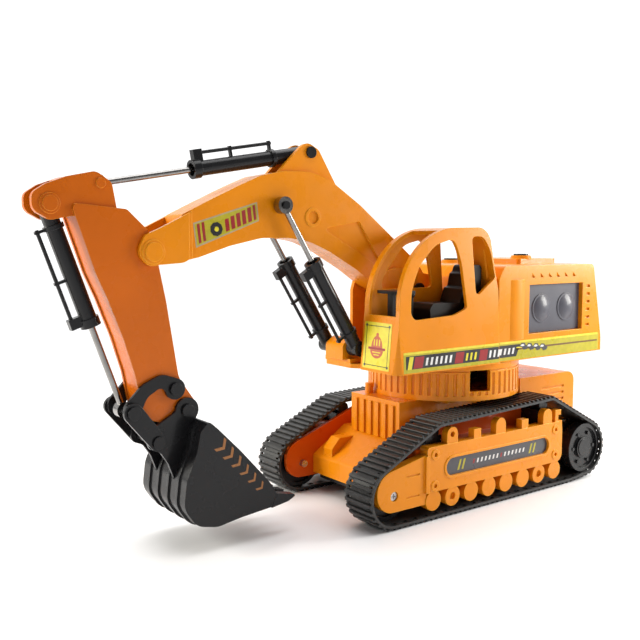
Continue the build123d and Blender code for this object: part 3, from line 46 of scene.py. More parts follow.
# ------------------------------------------------------------------ colours (linear)
# each plastic has a lighter tone of its own for its edges: a painted highlight along every edge
ORANGE_YELLOW = (0.78, 0.25, 0.003)
EDGE_HIGHLIGHT_YELLOW = (1.0, 0.52, 0.03)
# darker copy of the body orange for the stick: painted shade
SHADED_STICK_ORANGE = (0.58, 0.12, 0.002)
SHADED_STICK_EDGE_HIGHLIGHT = (0.85, 0.3, 0.02)
# darker, redder copy of the body orange for the track frames: painted shade
SHADED_FRAME_ORANGE = (0.66, 0.09, 0.003)
SHADED_FRAME_EDGE_HIGHLIGHT = (0.88, 0.16, 0.01)
BLACK = (0.010, 0.010, 0.011)
BLACK_EDGE_HIGHLIGHT = (0.035, 0.035, 0.037)
CAB_BLACK = (0.008, 0.006, 0.005)
CAB_BLACK_EDGE_HIGHLIGHT = (0.03, 0.022, 0.018)
GREY = (0.085, 0.085, 0.105)
GREY_EDGE_HIGHLIGHT = (0.14, 0.14, 0.16)
BOARD_GREEN = (0.01, 0.12, 0.04)
BOARD_EDGE_HIGHLIGHT = (0.05, 0.2, 0.08)
CELL_GREEN = (0.02, 0.08, 0.03)
CELL_EDGE_HIGHLIGHT = (0.3, 0.3, 0.3)
BELT_BLACK = (0.016, 0.016, 0.016)
BELT_DUST = (0.045, 0.044, 0.042)
# chrome darkened to stand in for the dark surroundings it reflects: painted reflection
CHROME_PAINTED_DARK = (0.30, 0.29, 0.28)
ZINC = (0.55, 0.55, 0.56)
STICKER_YELLOW = (0.72, 0.62, 0.03)
STICKER_LIME = (0.44, 0.38, 0.012)
STICKER_BEIGE = (0.42, 0.34, 0.20)
STICKER_RED = (0.30, 0.010, 0.012)
STICKER_PINK = (0.50, 0.10, 0.035)
STICKER_BLACK = (0.016, 0.015, 0.017)
STICKER_GREY = (0.055, 0.055, 0.065)
STICKER_WHITE = (0.75, 0.74, 0.72)
STICKER_BROWN = (0.16, 0.08, 0.02)
CHEVRON_BROWN = (0.30, 0.11, 0.02)
FLOOR_WHITE = (0.86, 0.86, 0.87)


# ------------------------------------------------------------------ materials
EDGE_RADIUS = 0.5 * MM


def add_node(material, kind, **settings):
    """A shader node with its input values or properties set."""
    node = material.node_tree.nodes.new(kind)
    for key, value in settings.items():
        if key in node.inputs:
            node.inputs[key].default_value = value
        else:
            setattr(node, key, value)
    return node


def start_material(name):
    """A new node material and its principled shader."""
    material = bpy.data.materials.new(name)
    material.use_nodes = True
    return material, material.node_tree.nodes["Principled BSDF"]


def link(material, output, target):
    material.node_tree.links.new(output, target)


def noise(material, scale, detail=3.0):
    """Noise over the model's own coordinates, so that it is the same on every piece."""
    place = add_node(material, "ShaderNodeTexCoord")
    texture = add_node(material, "ShaderNodeTexNoise", Scale=scale, Detail=detail)
    link(material, place.outputs["Object"], texture.inputs["Vector"])
    return texture.outputs["Fac"]


def spread(material, value, low, high):
    """Maps a noise's middle range onto low to high."""
    ramp = add_node(material, "ShaderNodeMapRange")
    ramp.inputs["From Min"].default_value = 0.3
    ramp.inputs["From Max"].default_value = 0.7
    ramp.inputs["To Min"].default_value = low
    ramp.inputs["To Max"].default_value = high
    link(material, value, ramp.inputs["Value"])
    return ramp.outputs["Result"]


def shade(colour, factor):
    """A darker or lighter tone of a colour, with alpha."""
    return (*[min(1.0, channel * factor) for channel in colour], 1.0)


def blended(material, factor, first, second):
    """Colour that goes from first to second with a factor socket."""
    mix = material.node_tree.nodes.new("ShaderNodeMix")
    mix.data_type = "RGBA"
    link(material, factor, mix.inputs["Factor"])
    for socket, value in ((mix.inputs[6], first), (mix.inputs[7], second)):
        if isinstance(value, tuple):
            socket.default_value = value
        else:
            link(material, value, socket)
    return mix.outputs[2]


def edge_mask(material, radius):
    """Rounded normal near sharp edges, and a mask that is 1 on the edges themselves."""
    rounded = add_node(material, "ShaderNodeBevel", samples=6)
    rounded.inputs["Radius"].default_value = radius
    geometry = add_node(material, "ShaderNodeNewGeometry")
    compare = add_node(material, "ShaderNodeVectorMath", operation="DOT_PRODUCT")
    link(material, rounded.outputs["Normal"], compare.inputs[0])
    link(material, geometry.outputs["Normal"], compare.inputs[1])
    mask = add_node(material, "ShaderNodeMapRange")
    mask.inputs["From Min"].default_value = 0.995
    mask.inputs["From Max"].default_value = 0.85
    link(material, compare.outputs["Value"], mask.inputs["Value"])
    return rounded.outputs["Normal"], mask.outputs["Result"]


def coloured(material, shader, value, dark, light):
    """Colour that wanders between two tones with a noise."""
    wander = spread(material, value, 0.0, 1.0)
    link(material, blended(material, wander, dark, light), shader.inputs["Base Color"])


def roughened(material, shader, value, smooth, rough):
    """Roughness that wanders with a noise."""
    link(material, spread(material, value, smooth, rough), shader.inputs["Roughness"])


def moulded_plastic(name, colour, edge_highlight_colour, rough, coat, grain):
    """Injection-moulded plastic: cloudy colour, edges in a lighter tone as a painted highlight, fine grain
    and a thin gloss.
    """
    material, shader = start_material(name)
    cloud = spread(material, noise(material, 22.0, 4.0), 0.0, 1.0)
    body = blended(material, cloud, shade(colour, 0.92), shade(colour, 1.06))
    normal, edges = edge_mask(material, EDGE_RADIUS)
    # the edges take the lighter tone: painted highlight
    painted_edge_highlight = blended(material, edges, body, (*edge_highlight_colour, 1.0))
    link(material, painted_edge_highlight, shader.inputs["Base Color"])
    roughened(material, shader, noise(material, 75.0, 5.0), rough * 0.8, rough * 1.3)
    bump = add_node(material, "ShaderNodeBump", Strength=grain, Distance=0.05 * MM)
    link(material, noise(material, 1400.0, 2.0), bump.inputs["Height"])
    link(material, normal, bump.inputs["Normal"])
    link(material, bump.outputs["Normal"], shader.inputs["Normal"])
    shader.inputs["Coat Weight"].default_value = coat
    shader.inputs["Coat Roughness"].default_value = 0.12
    shader.inputs["IOR"].default_value = 1.4
    shader.inputs["Specular IOR Level"].default_value = 0.3
    return material


def belt_rubber(name):
    """Soft black vinyl with patches of dust."""
    material, shader = start_material(name)
    dust = spread(material, noise(material, 160.0, 5.0), 0.0, 0.5)
    colour = blended(material, dust, shade(BELT_BLACK, 0.8), shade(BELT_DUST, 1.0))
    link(material, colour, shader.inputs["Base Color"])
    roughened(material, shader, noise(material, 90.0, 4.0), 0.32, 0.5)
    bump = add_node(material, "ShaderNodeBump", Strength=0.35, Distance=0.08 * MM)
    link(material, noise(material, 900.0, 3.0), bump.inputs["Height"])
    link(material, bump.outputs["Normal"], shader.inputs["Normal"])
    return material


def metal(name, colour, rough, streak_scale):
    """Plated steel with drawn streaks and slight tarnish."""
    material, shader = start_material(name)
    coloured(material, shader, noise(material, 120.0, 4.0), shade(colour, 0.75), shade(colour, 1.0))
    roughened(material, shader, noise(material, streak_scale, 2.0), rough * 0.6, rough * 1.6)
    bump = add_node(material, "ShaderNodeBump", Strength=0.15, Distance=0.03 * MM)
    link(material, noise(material, streak_scale * 2, 2.0), bump.inputs["Height"])
    link(material, bump.outputs["Normal"], shader.inputs["Normal"])
    shader.inputs["Metallic"].default_value = 1.0
    return material


def sticker_film(name, colour):
    """Printed self-adhesive film: slight mottle and a soft gloss."""
    material, shader = start_material(name)
    coloured(material, shader, noise(material, 300.0, 4.0), shade(colour, 0.9), shade(colour, 1.08))
    roughened(material, shader, noise(material, 60.0, 3.0), 0.25, 0.4)
    bump = add_node(material, "ShaderNodeBump", Strength=0.1, Distance=0.04 * MM)
    link(material, noise(material, 500.0, 2.0), bump.inputs["Height"])
    link(material, bump.outputs["Normal"], shader.inputs["Normal"])
    return material


def studio_paper(name):
    """Matt white studio paper."""
    material, shader = start_material(name)
    fibre = noise(material, 30.0, 6.0)
    coloured(material, shader, fibre, shade(FLOOR_WHITE, 0.985), shade(FLOOR_WHITE, 1.01))
    shader.inputs["Roughness"].default_value = 0.45
    return material


body_plastic = moulded_plastic("body_plastic", ORANGE_YELLOW, EDGE_HIGHLIGHT_YELLOW, rough=0.28, coat=0.12, grain=0.2)
# the stick's plastic is the body orange darkened: painted shade
shaded_stick_plastic = moulded_plastic("shaded_stick_plastic", SHADED_STICK_ORANGE, SHADED_STICK_EDGE_HIGHLIGHT, rough=0.28, coat=0.12, grain=0.2)
# the track frames' plastic is the body orange darkened: painted shade
shaded_frame_plastic = moulded_plastic("shaded_frame_plastic", SHADED_FRAME_ORANGE, SHADED_FRAME_EDGE_HIGHLIGHT, rough=0.33, coat=0.1, grain=0.2)
black_plastic = moulded_plastic("black_plastic", BLACK, BLACK_EDGE_HIGHLIGHT, rough=0.24, coat=0.12, grain=0.25)
cab_black = moulded_plastic("cab_black", CAB_BLACK, CAB_BLACK_EDGE_HIGHLIGHT, rough=0.4, coat=0.1, grain=0.4)
grey_plastic = moulded_plastic("grey_plastic", GREY, GREY_EDGE_HIGHLIGHT, rough=0.4, coat=0.2, grain=0.3)
circuit_green = moulded_plastic("circuit_green", BOARD_GREEN, BOARD_EDGE_HIGHLIGHT, rough=0.4, coat=0.2, grain=0.2)
cell_wrap = moulded_plastic("cell_wrap", CELL_GREEN, CELL_EDGE_HIGHLIGHT, rough=0.3, coat=0.4, grain=0.1)
rubber = belt_rubber("track_rubber")
# the rods' chrome is darkened: painted reflection of dark surroundings
chrome = metal("rod_chrome", CHROME_PAINTED_DARK, rough=0.16, streak_scale=400.0)
zinc = metal("zinc_steel", ZINC, rough=0.3, streak_scale=600.0)
film_yellow = sticker_film("film_yellow", STICKER_YELLOW)
film_lime = sticker_film("film_lime", STICKER_LIME)
film_red = sticker_film("film_red", STICKER_RED)
film_black = sticker_film("film_black", STICKER_BLACK)
film_grey = sticker_film("film_grey", STICKER_GREY)
film_white = sticker_film("film_white", STICKER_WHITE)
film_brown = sticker_film("film_brown", STICKER_BROWN)
film_pink = sticker_film("film_pink", STICKER_PINK)
film_beige = sticker_film("film_beige", STICKER_BEIGE)
film_chevron = sticker_film("film_chevron", CHEVRON_BROWN)

# what each CAD node is made of; nodes that aren't listed are body plastic
NODE_LOOKS = {
    # the track frames take the darker copy of the body plastic: painted shade
    shaded_frame_plastic: ["left_track_frame", "right_track_frame"],
    # the stick shells take the darker copy of the body plastic: painted shade
    shaded_stick_plastic: ["stick_left_shell", "stick_right_shell"],
    black_plastic: [
        "chassis_base",
        "battery_door",
        "battery_box",
        "power_switch_body",
        "power_switch_slider",
        "left_sprocket",
        "right_sprocket",
        "left_idler",
        "right_idler",
        "carrier_blocks",
        "slew_retainer",
        "roof_caps",
        "house_pins",
        "boom_pins",
        "stick_pins",
        "rocker_pin",
        "bucket_pin",
        "rocker_arms",
        "bucket_link",
        "bucket_shell",
        "bucket_teeth",
        "bucket_ears",
        "left_boom_barrel",
        "right_boom_barrel",
        "stick_barrel",
        "bucket_barrel",
    ],
    cab_black: ["cab_tray", "seat", "control_levers"],
    grey_plastic: ["left_fan_panel", "right_fan_panel", "drive_gearboxes"],
    circuit_green: ["circuit_board"],
    cell_wrap: ["battery_cells"],
    chrome: ["left_boom_rod", "right_boom_rod", "stick_rod", "bucket_rod"],
    zinc: [
        "undercarriage_screws",
        "boom_screws",
        "stick_screws",
        "idler_axles",
        "slew_motor",
    ],
}


def dress_nodes():
    """Gives every CAD node its material; what isn't listed is the body's plastic."""
    looks = {name: material for material, names in NODE_LOOKS.items() for name in names}
    for name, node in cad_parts.items():
        node.data.materials.clear()
        node.data.materials.append(looks.get(name, body_plastic))


dress_nodes()


# ------------------------------------------------------------------ mesh helpers
def new_object(name, mesh, materials, body):
    """An object that rides on a body and takes the given materials."""
    piece = bpy.data.objects.new(name, mesh)
    bpy.context.scene.collection.objects.link(piece)
    for material in materials:
        mesh.materials.append(material)
    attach(piece, body)
    return piece


def add_prism(mesh, bottom, top, material_index=0):
    """Closed solid between two rings of the same number of points."""
    low = [mesh.verts.new(point) for point in bottom]
    high = [mesh.verts.new(point) for point in top]
    faces = [mesh.faces.new(list(reversed(low))), mesh.faces.new(high)]
    count = len(low)
    for index in range(count):
        after = (index + 1) % count
        faces.append(mesh.faces.new((low[index], low[after], high[after], high[index])))
    for face in faces:
        face.material_index = material_index


def finished(mesh, name):
    """Turns a bmesh into mesh data with outward normals."""
    bmesh.ops.recalc_face_normals(mesh, faces=mesh.faces)
    data = bpy.data.meshes.new(name)
    mesh.to_mesh(data)
    mesh.free()
    return data


# ------------------------------------------------------------------ track belts
IDLER = (105.0, 21.8)
SPROCKET = (-93.0, 24.2)
# Rounds that the belt's inner surface bends over, counter-clockwise: x, z, radius
BELT_ROUNDS = [(*IDLER, 18.6), (64.0, 57.3, 5.0), (-50.0, 61.8, 5.0), (*SPROCKET, 19.3), (-72.0, 11.2, 8.0)]
BELT_INNER_Y = 38.8
BELT_OUTER_Y = 65.2
BELT_WEB = 1.7
CLEAT_HEIGHT = 1.5
CLEAT_PITCH = 4.6
CLEAT_ROUND = 0.8
BELT_STEPS = 260
EDGE_RAIL = 2.0
WINDOW_WIDTH = 3.0


def lean(start, end):
    """Unit direction and distance in the XZ plane."""
    length = math.dist(start, end)
    return (end[0] - start[0]) / length, (end[1] - start[1]) / length, length


def straight_run(first, second):
    """Ends and outward normal of the belt's straight run between two rounds."""
    dx, dz, length = lean(first[:2], second[:2])
    slope = (first[2] - second[2]) / length
    square = math.sqrt(1 - slope**2)
    normal = (dx * slope + dz * square, dz * slope - dx * square)
    start = (first[0] + first[2] * normal[0], first[1] + first[2] * normal[1])
    end = (second[0] + second[2] * normal[0], second[1] + second[2] * normal[1])
    return start, end, normal


def belt_stretches():
    """The belt's straight runs and bends, in order."""
    count = len(BELT_ROUNDS)
    runs = [straight_run(BELT_ROUNDS[i], BELT_ROUNDS[(i + 1) % count]) for i in range(count)]
    stretches = []
    for index, (start, end, normal) in enumerate(runs):
        stretches.append((math.dist(start, end), start, end, normal))
        x, z, radius = BELT_ROUNDS[(index + 1) % count]
        angle = math.atan2(normal[1], normal[0])
        after = runs[(index + 1) % count][2]
        turn = (math.atan2(after[1], after[0]) - angle) % math.tau
        stretches.append((radius * turn, (x, z), radius, angle))
    return stretches


STRETCHES = belt_stretches()
BELT_LENGTH = sum(stretch[0] for stretch in STRETCHES)


def belt_place(distance):
    """Point on the belt's inner surface and its outward normal, in the XZ plane."""
    distance %= BELT_LENGTH
    for stretch in STRETCHES:
        if distance <= stretch[0]:
            break
        distance -= stretch[0]
    if isinstance(stretch[3], tuple):
        _, start, end, normal = stretch
        dx, dz, _ = lean(start, end)
        return (start[0] + dx * distance, start[1] + dz * distance), normal
    _, centre, radius, first_angle = stretch
    angle = first_angle + distance / radius
    normal = (math.cos(angle), math.sin(angle))
    return (centre[0] + radius * normal[0], centre[1] + radius * normal[1]), normal


def on_belt(distance, height, y):
    """Place in metres at a distance along the belt, a height over its inner surface and a Y."""
    (x, z), (nx, nz) = belt_place(distance)
    return Vector((x + nx * height, y, z + nz * height)) * MM


def add_belt_ring(mesh, y_low, y_high, height):
    """Endless flat band between two Y positions."""
    rings = []
    for step in range(BELT_STEPS):
        distance = step * BELT_LENGTH / BELT_STEPS
        corners = ((0, y_low), (0, y_high), (height, y_high), (height, y_low))
        rings.append([mesh.verts.new(on_belt(distance, *corner)) for corner in corners])
    for step in range(BELT_STEPS):
        here, after = rings[step], rings[(step + 1) % BELT_STEPS]
        for corner in range(4):
            other = (corner + 1) % 4
            mesh.faces.new((here[corner], here[other], after[other], after[corner]))


def add_cross_piece(mesh, middle, profile, stations):
    """Bar across the belt: profile points (along, up), scaled at stations (y, width, height)."""
    rings = []
    for y, width, height in stations:
        places = [on_belt(middle + along * width, BELT_WEB + up * height, y) for along, up in profile]
        rings.append([mesh.verts.new(place) for place in places])
    for ring, after in zip(rings, rings[1:]):
        for corner in range(len(profile)):
            other = (corner + 1) % len(profile)
            mesh.faces.new((ring[corner], ring[other], after[other], after[corner]))
    mesh.faces.new(rings[0])
    mesh.faces.new(list(reversed(rings[-1])))


CLEAT_PROFILE = [
    (-1.25, -0.3),
    (-1.0, 1.2),
    (-0.75, CLEAT_HEIGHT),
    (0.75, CLEAT_HEIGHT),
    (1.0, 1.2),
    (1.25, -0.3),
]
BRIDGE_PROFILE = [(-2.3, -BELT_WEB), (-2.3, 0.0), (2.3, 0.0), (2.3, -BELT_WEB)]


def build_belt(side, name):
    """One track belt: rails and a centre band, bridges between the edge windows, and cleats."""
    inner, outer = sorted((side * BELT_INNER_Y, side * BELT_OUTER_Y))
    mesh = bmesh.new()
    add_belt_ring(mesh, inner, inner + EDGE_RAIL, BELT_WEB)
    add_belt_ring(mesh, inner + EDGE_RAIL + WINDOW_WIDTH, outer - EDGE_RAIL - WINDOW_WIDTH, BELT_WEB)
    add_belt_ring(mesh, outer - EDGE_RAIL, outer, BELT_WEB)
    window_count = round(BELT_LENGTH / (2 * CLEAT_PITCH))
    for number in range(window_count):
        middle = number * BELT_LENGTH / window_count
        for y in (inner + EDGE_RAIL, outer - EDGE_RAIL - WINDOW_WIDTH):
            add_cross_piece(mesh, middle, BRIDGE_PROFILE, [(y, 1, 1), (y + WINDOW_WIDTH, 1, 1)])
    cleat_count = 2 * window_count
    for number in range(cleat_count):
        middle = number * BELT_LENGTH / cleat_count
        stations = [
            (inner, 0.8, 0.55),
            (inner + CLEAT_ROUND, 1, 1),
            (outer - CLEAT_ROUND, 1, 1),
            (outer, 0.8, 0.55),
        ]
        add_cross_piece(mesh, middle, CLEAT_PROFILE, stations)
    return new_object(name, finished(mesh, name), [rubber], "undercarriage")


left_belt = build_belt(1, "left_belt_cleated")
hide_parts("left_track_belt")
right_belt = build_belt(-1, "right_belt_cleated")
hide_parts("right_track_belt")


# ------------------------------------------------------------------ stickers
FILM_THICKNESS = 0.06 * MM


class Sheet:
    """A flat place for stickers: an origin, two directions in the surface and the normal, in mm."""

    def __init__(self, origin, across, up):
        self.origin = Vector(origin)
        self.across = Vector(across).normalized()
        self.up = Vector(up).normalized()
        self.normal = self.across.cross(self.up)

    def point(self, u, v, lift):
        return (self.origin + self.across * u + self.up * v) * MM + self.normal * lift


def rounded_outline(width, height, radius, steps=6):
    """Rounded rectangle from (0, 0) to (width, height)."""
    points = []
    right, top = width - radius, height - radius
    corners = ((right, radius, -90), (right, top, 0), (radius, top, 90), (radius, radius, 180))
    for x, y, first in corners:
        for step in range(steps + 1):
            angle = math.radians(first + 90 * step / steps)
            points.append((x + radius * math.cos(angle), y + radius * math.sin(angle)))
    return points


def ring_points(x, y, radius, count):
    """Points round a circle."""
    angles = [math.tau * step / count for step in range(count)]
    return [(x + radius * math.cos(angle), y + radius * math.sin(angle)) for angle in angles]


def half_turn(steps):
    """Angles from 0 to 180 degrees."""
    return [math.pi * step / steps for step in range(steps + 1)]


def slanted(x, y, width, height, slant):
    """Parallelogram whose top is moved across by slant."""
    return [(x, y), (x + width, y), (x + width + slant, y + height), (x + slant, y + height)]


def build_sticker(name, body, sheet, shapes, mirror=False):
    """Thin layered film: shapes are (outline, layer, material); the higher layer lies on the lower."""
    materials = []
    mesh = bmesh.new()
    for outline, layer, material in shapes:
        if material not in materials:
            materials.append(material)
        lift = FILM_THICKNESS * (layer + 1)
        bottom = [sheet.point(u, v, 0.0) for u, v in outline]
        top = [sheet.point(u, v, lift) for u, v in outline]
        add_prism(mesh, bottom, top, materials.index(material))
    if mirror:
        bmesh.ops.scale(mesh, vec=(1, -1, 1), verts=mesh.verts)
    return new_object(name, finished(mesh, name), materials, body)


# Side band along the cab and the house: lime film with a yellow top edge, a black strip with
# slanted bars, a twisted motif and a thin brown line. Outlines run from the front end backwards.
BAND_LOW_Z = 99.4
BAND_HEIGHT = 13.6
BAND_EDGE = 1.5
STRIP_LOW = 2.4
STRIP_TOP = STRIP_LOW + 8.6
WHITE_BAR = 1.9
WHITE_PITCH = 4.4
CAB_BAND_X = (94.0, 3.4)
HOUSE_BAND_X = (2.2, -114.5)
CAB_LEAN_DY = -4.3
CAB_LEAN_DZ = 96.4
CAB_FOOT_Y = 59.3
CAB_FOOT_Z = 98.6
HOUSE_Y = 57.5


def bars(start, count, pitch, width, low, high, material):
    """Slanted bars in a row on the black strip."""
    slant = (high - low) * 0.25
    rows = [slanted(start + number * pitch, low, width, high - low, slant) for number in range(count)]
    return [(row, 2, material) for row in rows]


def rectangle(x, y, width, height):
    return [(x, y), (x + width, y), (x + width, y + height), (x, y + height)]


def cab_band():
    length = CAB_BAND_X[0] - CAB_BAND_X[1]
    strip = [(2, STRIP_LOW), (length, STRIP_LOW), (length, STRIP_TOP), (2, STRIP_TOP)]
    shapes = [
        (rectangle(0, 0, length, BAND_HEIGHT), 0, film_lime),
        (rectangle(0, BAND_HEIGHT - BAND_EDGE, length, BAND_EDGE), 1, film_yellow),
        (strip, 1, film_black),
    ]
    shapes += bars(3.2, 1, 0, 3.6, 2.4, 10.6, film_yellow)
    for start in (8.4, 46.0, 69.6):
        shapes += bars(start, 1, 0, 8.0, 2.8, 10.2, film_red)
    shapes += bars(19.0, 6, WHITE_PITCH, WHITE_BAR, 4.0, 9.0, film_white)
    shapes += bars(56.6, 3, 4.2, WHITE_BAR, 4.0, 9.0, film_yellow)
    shapes += bars(80.0, 3, WHITE_PITCH, WHITE_BAR, 4.0, 9.0, film_white)
    return shapes


def knot_leaf(x, y, size, lift):
    """One leaf of the twisted motif, pointing forwards and up or down."""
    return [
        (x, y),
        (x + 0.45 * size, y + lift),
        (x + size, y + 0.9 * lift),
        (x + 1.25 * size, y + 0.1 * lift),
        (x + 0.75 * size, y - 0.25 * lift),
    ]


def house_band():
    length = HOUSE_BAND_X[0] - HOUSE_BAND_X[1]
    corner = 1.2
    strip_end = 19.0
    line_y = 6.9
    strip = [(0, STRIP_LOW), (strip_end, STRIP_LOW), (strip_end + 4, STRIP_TOP), (0, STRIP_TOP)]
    shapes = [
        (rounded_outline(length, BAND_HEIGHT, corner), 0, film_lime),
        (rectangle(corner, BAND_HEIGHT - BAND_EDGE, length - 2 * corner, BAND_EDGE), 1, film_yellow),
        (strip, 1, film_black),
        (rectangle(strip_end, line_y, length - strip_end - 1.5, 1.3), 1, film_brown),
        (rectangle(strip_end, line_y + 1.3, 26, 0.9), 2, film_yellow),
    ]
    for turn in range(4):
        x = strip_end + 3 + turn * 7.4
        y = line_y + 2.2 - turn * 0.7
        shapes.append((knot_leaf(x, y, 6.0, 2.6), 3, film_grey))
        shapes.append((knot_leaf(x + 2.4, y, 6.0, -2.6), 4, film_grey))
        shapes.append((knot_leaf(x + 1.0, y + 0.4, 3.6, 1.3), 5, film_white))
    return shapes + bars(0.8, 4, WHITE_PITCH, WHITE_BAR, 4.4, 8.8, film_white)


# the cab's wall leans inwards as it rises
lean_rise = (BAND_LOW_Z - CAB_FOOT_Z) * CAB_LEAN_DY / CAB_LEAN_DZ
cab_side_sheet = Sheet(
    (CAB_BAND_X[0], CAB_FOOT_Y + lean_rise, BAND_LOW_Z), (-1, 0, 0), (0, CAB_LEAN_DY, CAB_LEAN_DZ)
)
house_side_sheet = Sheet((HOUSE_BAND_X[0], HOUSE_Y, BAND_LOW_Z), (-1, 0, 0), (0, 0, 1))
build_sticker("cab_side_band", "house", cab_side_sheet, cab_band())
build_sticker("house_left_band", "house", house_side_sheet, house_band())
build_sticker("house_right_band", "house", house_side_sheet, house_band(), mirror=True)

# Front panel of the cab: framed yellow film with a plain helmet-like emblem
PANEL_LOW = (100.0, 51.5, 100.5)
PANEL_WIDTH = 27.0
PANEL_HEIGHT = 31.0


def front_panel():
    shapes = [(rounded_outline(PANEL_WIDTH, PANEL_HEIGHT, 1.0), 0, film_yellow)]
    margin, line = 2.2, 0.45
    right, top = PANEL_WIDTH - margin, PANEL_HEIGHT - margin
    for frame_line in (
        rectangle(margin, margin, right - margin, line),
        rectangle(margin, top - line, right - margin, line),
        rectangle(margin, margin, line, top - margin),
        rectangle(right - line, margin, line, top - margin),
    ):
        shapes.append((frame_line, 1, film_black))
    for x in (margin, right):
        for y in (margin, top):
            shapes.append((ring_points(x, y, 0.9, 12), 2, film_grey))
    # plain emblem: a helmet shape with a brim, over a round base, and a knob on top
    middle = PANEL_WIDTH / 2
    brim = PANEL_HEIGHT / 2 - 1.5
    dome = [(middle + 5.6 * math.cos(angle), brim + 8.2 * math.sin(angle)) for angle in half_turn(12)]
    base = [(middle - 6.4 * math.cos(angle), brim - 1.2 - 5.6 * math.sin(angle)) for angle in half_turn(12)]
    shapes.append((dome, 1, film_pink))
    shapes.append((base, 1, film_pink))
    shapes.append((rectangle(middle - 8.4, brim - 1.1, 16.8, 1.6), 2, film_red))
    shapes.append((ring_points(middle, brim + 8.9, 1.3, 12), 2, film_pink))
    for stripe in (-2.6, 0.0, 2.6):
        shapes.append((rectangle(middle + stripe - 0.5, brim + 1.6, 1.0, 4.2), 3, film_yellow))
    for row in range(2):
        reach = 4.0 - row * 1.4
        shapes.append((rectangle(middle - reach, brim - 3.1 - row * 1.7, 2 * reach, 0.7), 3, film_yellow))
    return shapes


front_sheet = Sheet(PANEL_LOW, (0, -1, 0), (-3.0, 0, 35.4))
front_sheet.normal = -front_sheet.normal
build_sticker("cab_front_panel", "house", front_sheet, front_panel())

# Boom sticker: lime film in a beige border, with dark red bars and a toothed wheel
ARM_Y = 10.5
BOOM_FRONT_TOP = (218.2, 195.3)
BOOM_REAR_TOP = (173.6, 208.8)
BOOM_REAR_BOTTOM = (172.2, 197.1)
BOOM_FRONT_BOTTOM = (216.4, 180.6)
THIN_BARS = 2
GROWING_BARS = 6


def between(first, second, share):
    """Point part of the way from first to second."""
    return tuple(a + (b - a) * share for a, b in zip(first, second))


def boom_place(across, up):
    """Point of the sticker on the boom's side plane: across 0 to 1 backwards, up 0 to 1."""
    bottom = between(BOOM_FRONT_BOTTOM, BOOM_REAR_BOTTOM, across)
    top = between(BOOM_FRONT_TOP, BOOM_REAR_TOP, across)
    x, z = between(bottom, top, up)
    return (-x, z)


def boom_patch(first, last, low, high):
    return [boom_place(first, low), boom_place(last, low), boom_place(last, high), boom_place(first, high)]


def boom_sticker():
    shapes = [(boom_patch(0, 1, 0, 1), 0, film_beige), (boom_patch(0.02, 0.98, 0.07, 0.93), 1, film_lime)]
    for number in range(THIN_BARS):
        first = 0.05 + 0.07 * number
        shapes.append((boom_patch(first, first + 0.04, 0.12, 0.90), 2, film_red))
    for number in range(GROWING_BARS):
        first = 0.47 + 0.09 * number
        width = 0.06 if number < GROWING_BARS - 1 else 0.04
        shapes.append((boom_patch(first, first + width, 0.14, 0.70 + 0.04 * number), 2, film_red))
    wheel = boom_place(0.33, 0.42)
    shapes.append((ring_points(*wheel, 4.3, 9), 4, film_black))
    shapes.append((ring_points(*wheel, 3.2, 16), 5, film_black))
    shapes.append((ring_points(*wheel, 1.5, 12), 6, film_yellow))
    return shapes


boom_sheet = Sheet((0, ARM_Y, 0), (-1, 0, 0), (0, 0, 1))
build_sticker("boom_left_sticker", "boom", boom_sheet, boom_sticker())
build_sticker("boom_right_sticker", "boom", boom_sheet, boom_sticker(), mirror=True)

# Track cover stickers: dark slot shape with slashes near both ends and a row of dashes
COVER_FLOOR_Y = 63.2
STADIUM_FRONT_X = 59.9
STADIUM_LOW_Z = 27.4
STADIUM_LENGTH = 106.8
STADIUM_HEIGHT = 12.2
DASH_COUNT = 14


def cover_sticker():
    shapes = [(rounded_outline(STADIUM_LENGTH, STADIUM_HEIGHT, STADIUM_HEIGHT / 2, 10), 0, film_grey)]
    for first in (12.0, 86.0):
        for slash in range(2):
            shapes.append((slanted(first + slash * 4.0, 2.4, 1.8, 7.0, 2.4), 1, film_lime))
    for dash in range(DASH_COUNT):
        fill = film_white if dash % (DASH_COUNT // 2) else film_red
        shapes.append((slanted(27 + dash * 4.0, 4.6, 1.5, 3.0, 0.9), 1, fill))
    return shapes


cover_sheet = Sheet((STADIUM_FRONT_X, COVER_FLOOR_Y, STADIUM_LOW_Z), (-1, 0, 0), (0, 0, 1))
build_sticker("left_cover_sticker", "undercarriage", cover_sheet, cover_sticker())
build_sticker("right_cover_sticker", "undercarriage", cover_sheet, cover_sticker(), mirror=True)

# Bucket chevrons
BUCKET_Y = 28.5
CHEVRON_START = (211.0, 64.0)
CHEVRON_END = (184.0, 34.5)
CHEVRON_COUNT = 6


def chevrons():
    """Arrow heads in a row along the bucket's mouth edge, pointing down it."""
    shapes = []
    dx, dz, length = lean(CHEVRON_START, CHEVRON_END)
    for number in range(CHEVRON_COUNT):
        size = 1.0 - 0.06 * number
        along = length * number / (CHEVRON_COUNT - 1)
        x = CHEVRON_START[0] + dx * along
        z = CHEVRON_START[1] + dz * along

        def place(forward, sideways):
            return (-(x + dx * forward - dz * sideways), z + dz * forward + dx * sideways)

        reach, half, thick = 3.4 * size, 4.6 * size, 2.2 * size
        tip, notch = place(reach, 0), place(reach - thick, 0)
        shapes.append(([tip, place(0, half), place(-thick, half), notch], 0, film_chevron))
        shapes.append(([tip, notch, place(-thick, -half), place(0, -half)], 0, film_chevron))
    return shapes


bucket_sheet = Sheet((0, BUCKET_Y, 0), (-1, 0, 0), (0, 0, 1))
build_sticker("bucket_left_chevrons", "bucket", bucket_sheet, chevrons())
build_sticker("bucket_right_chevrons", "bucket", bucket_sheet, chevrons(), mirror=True)


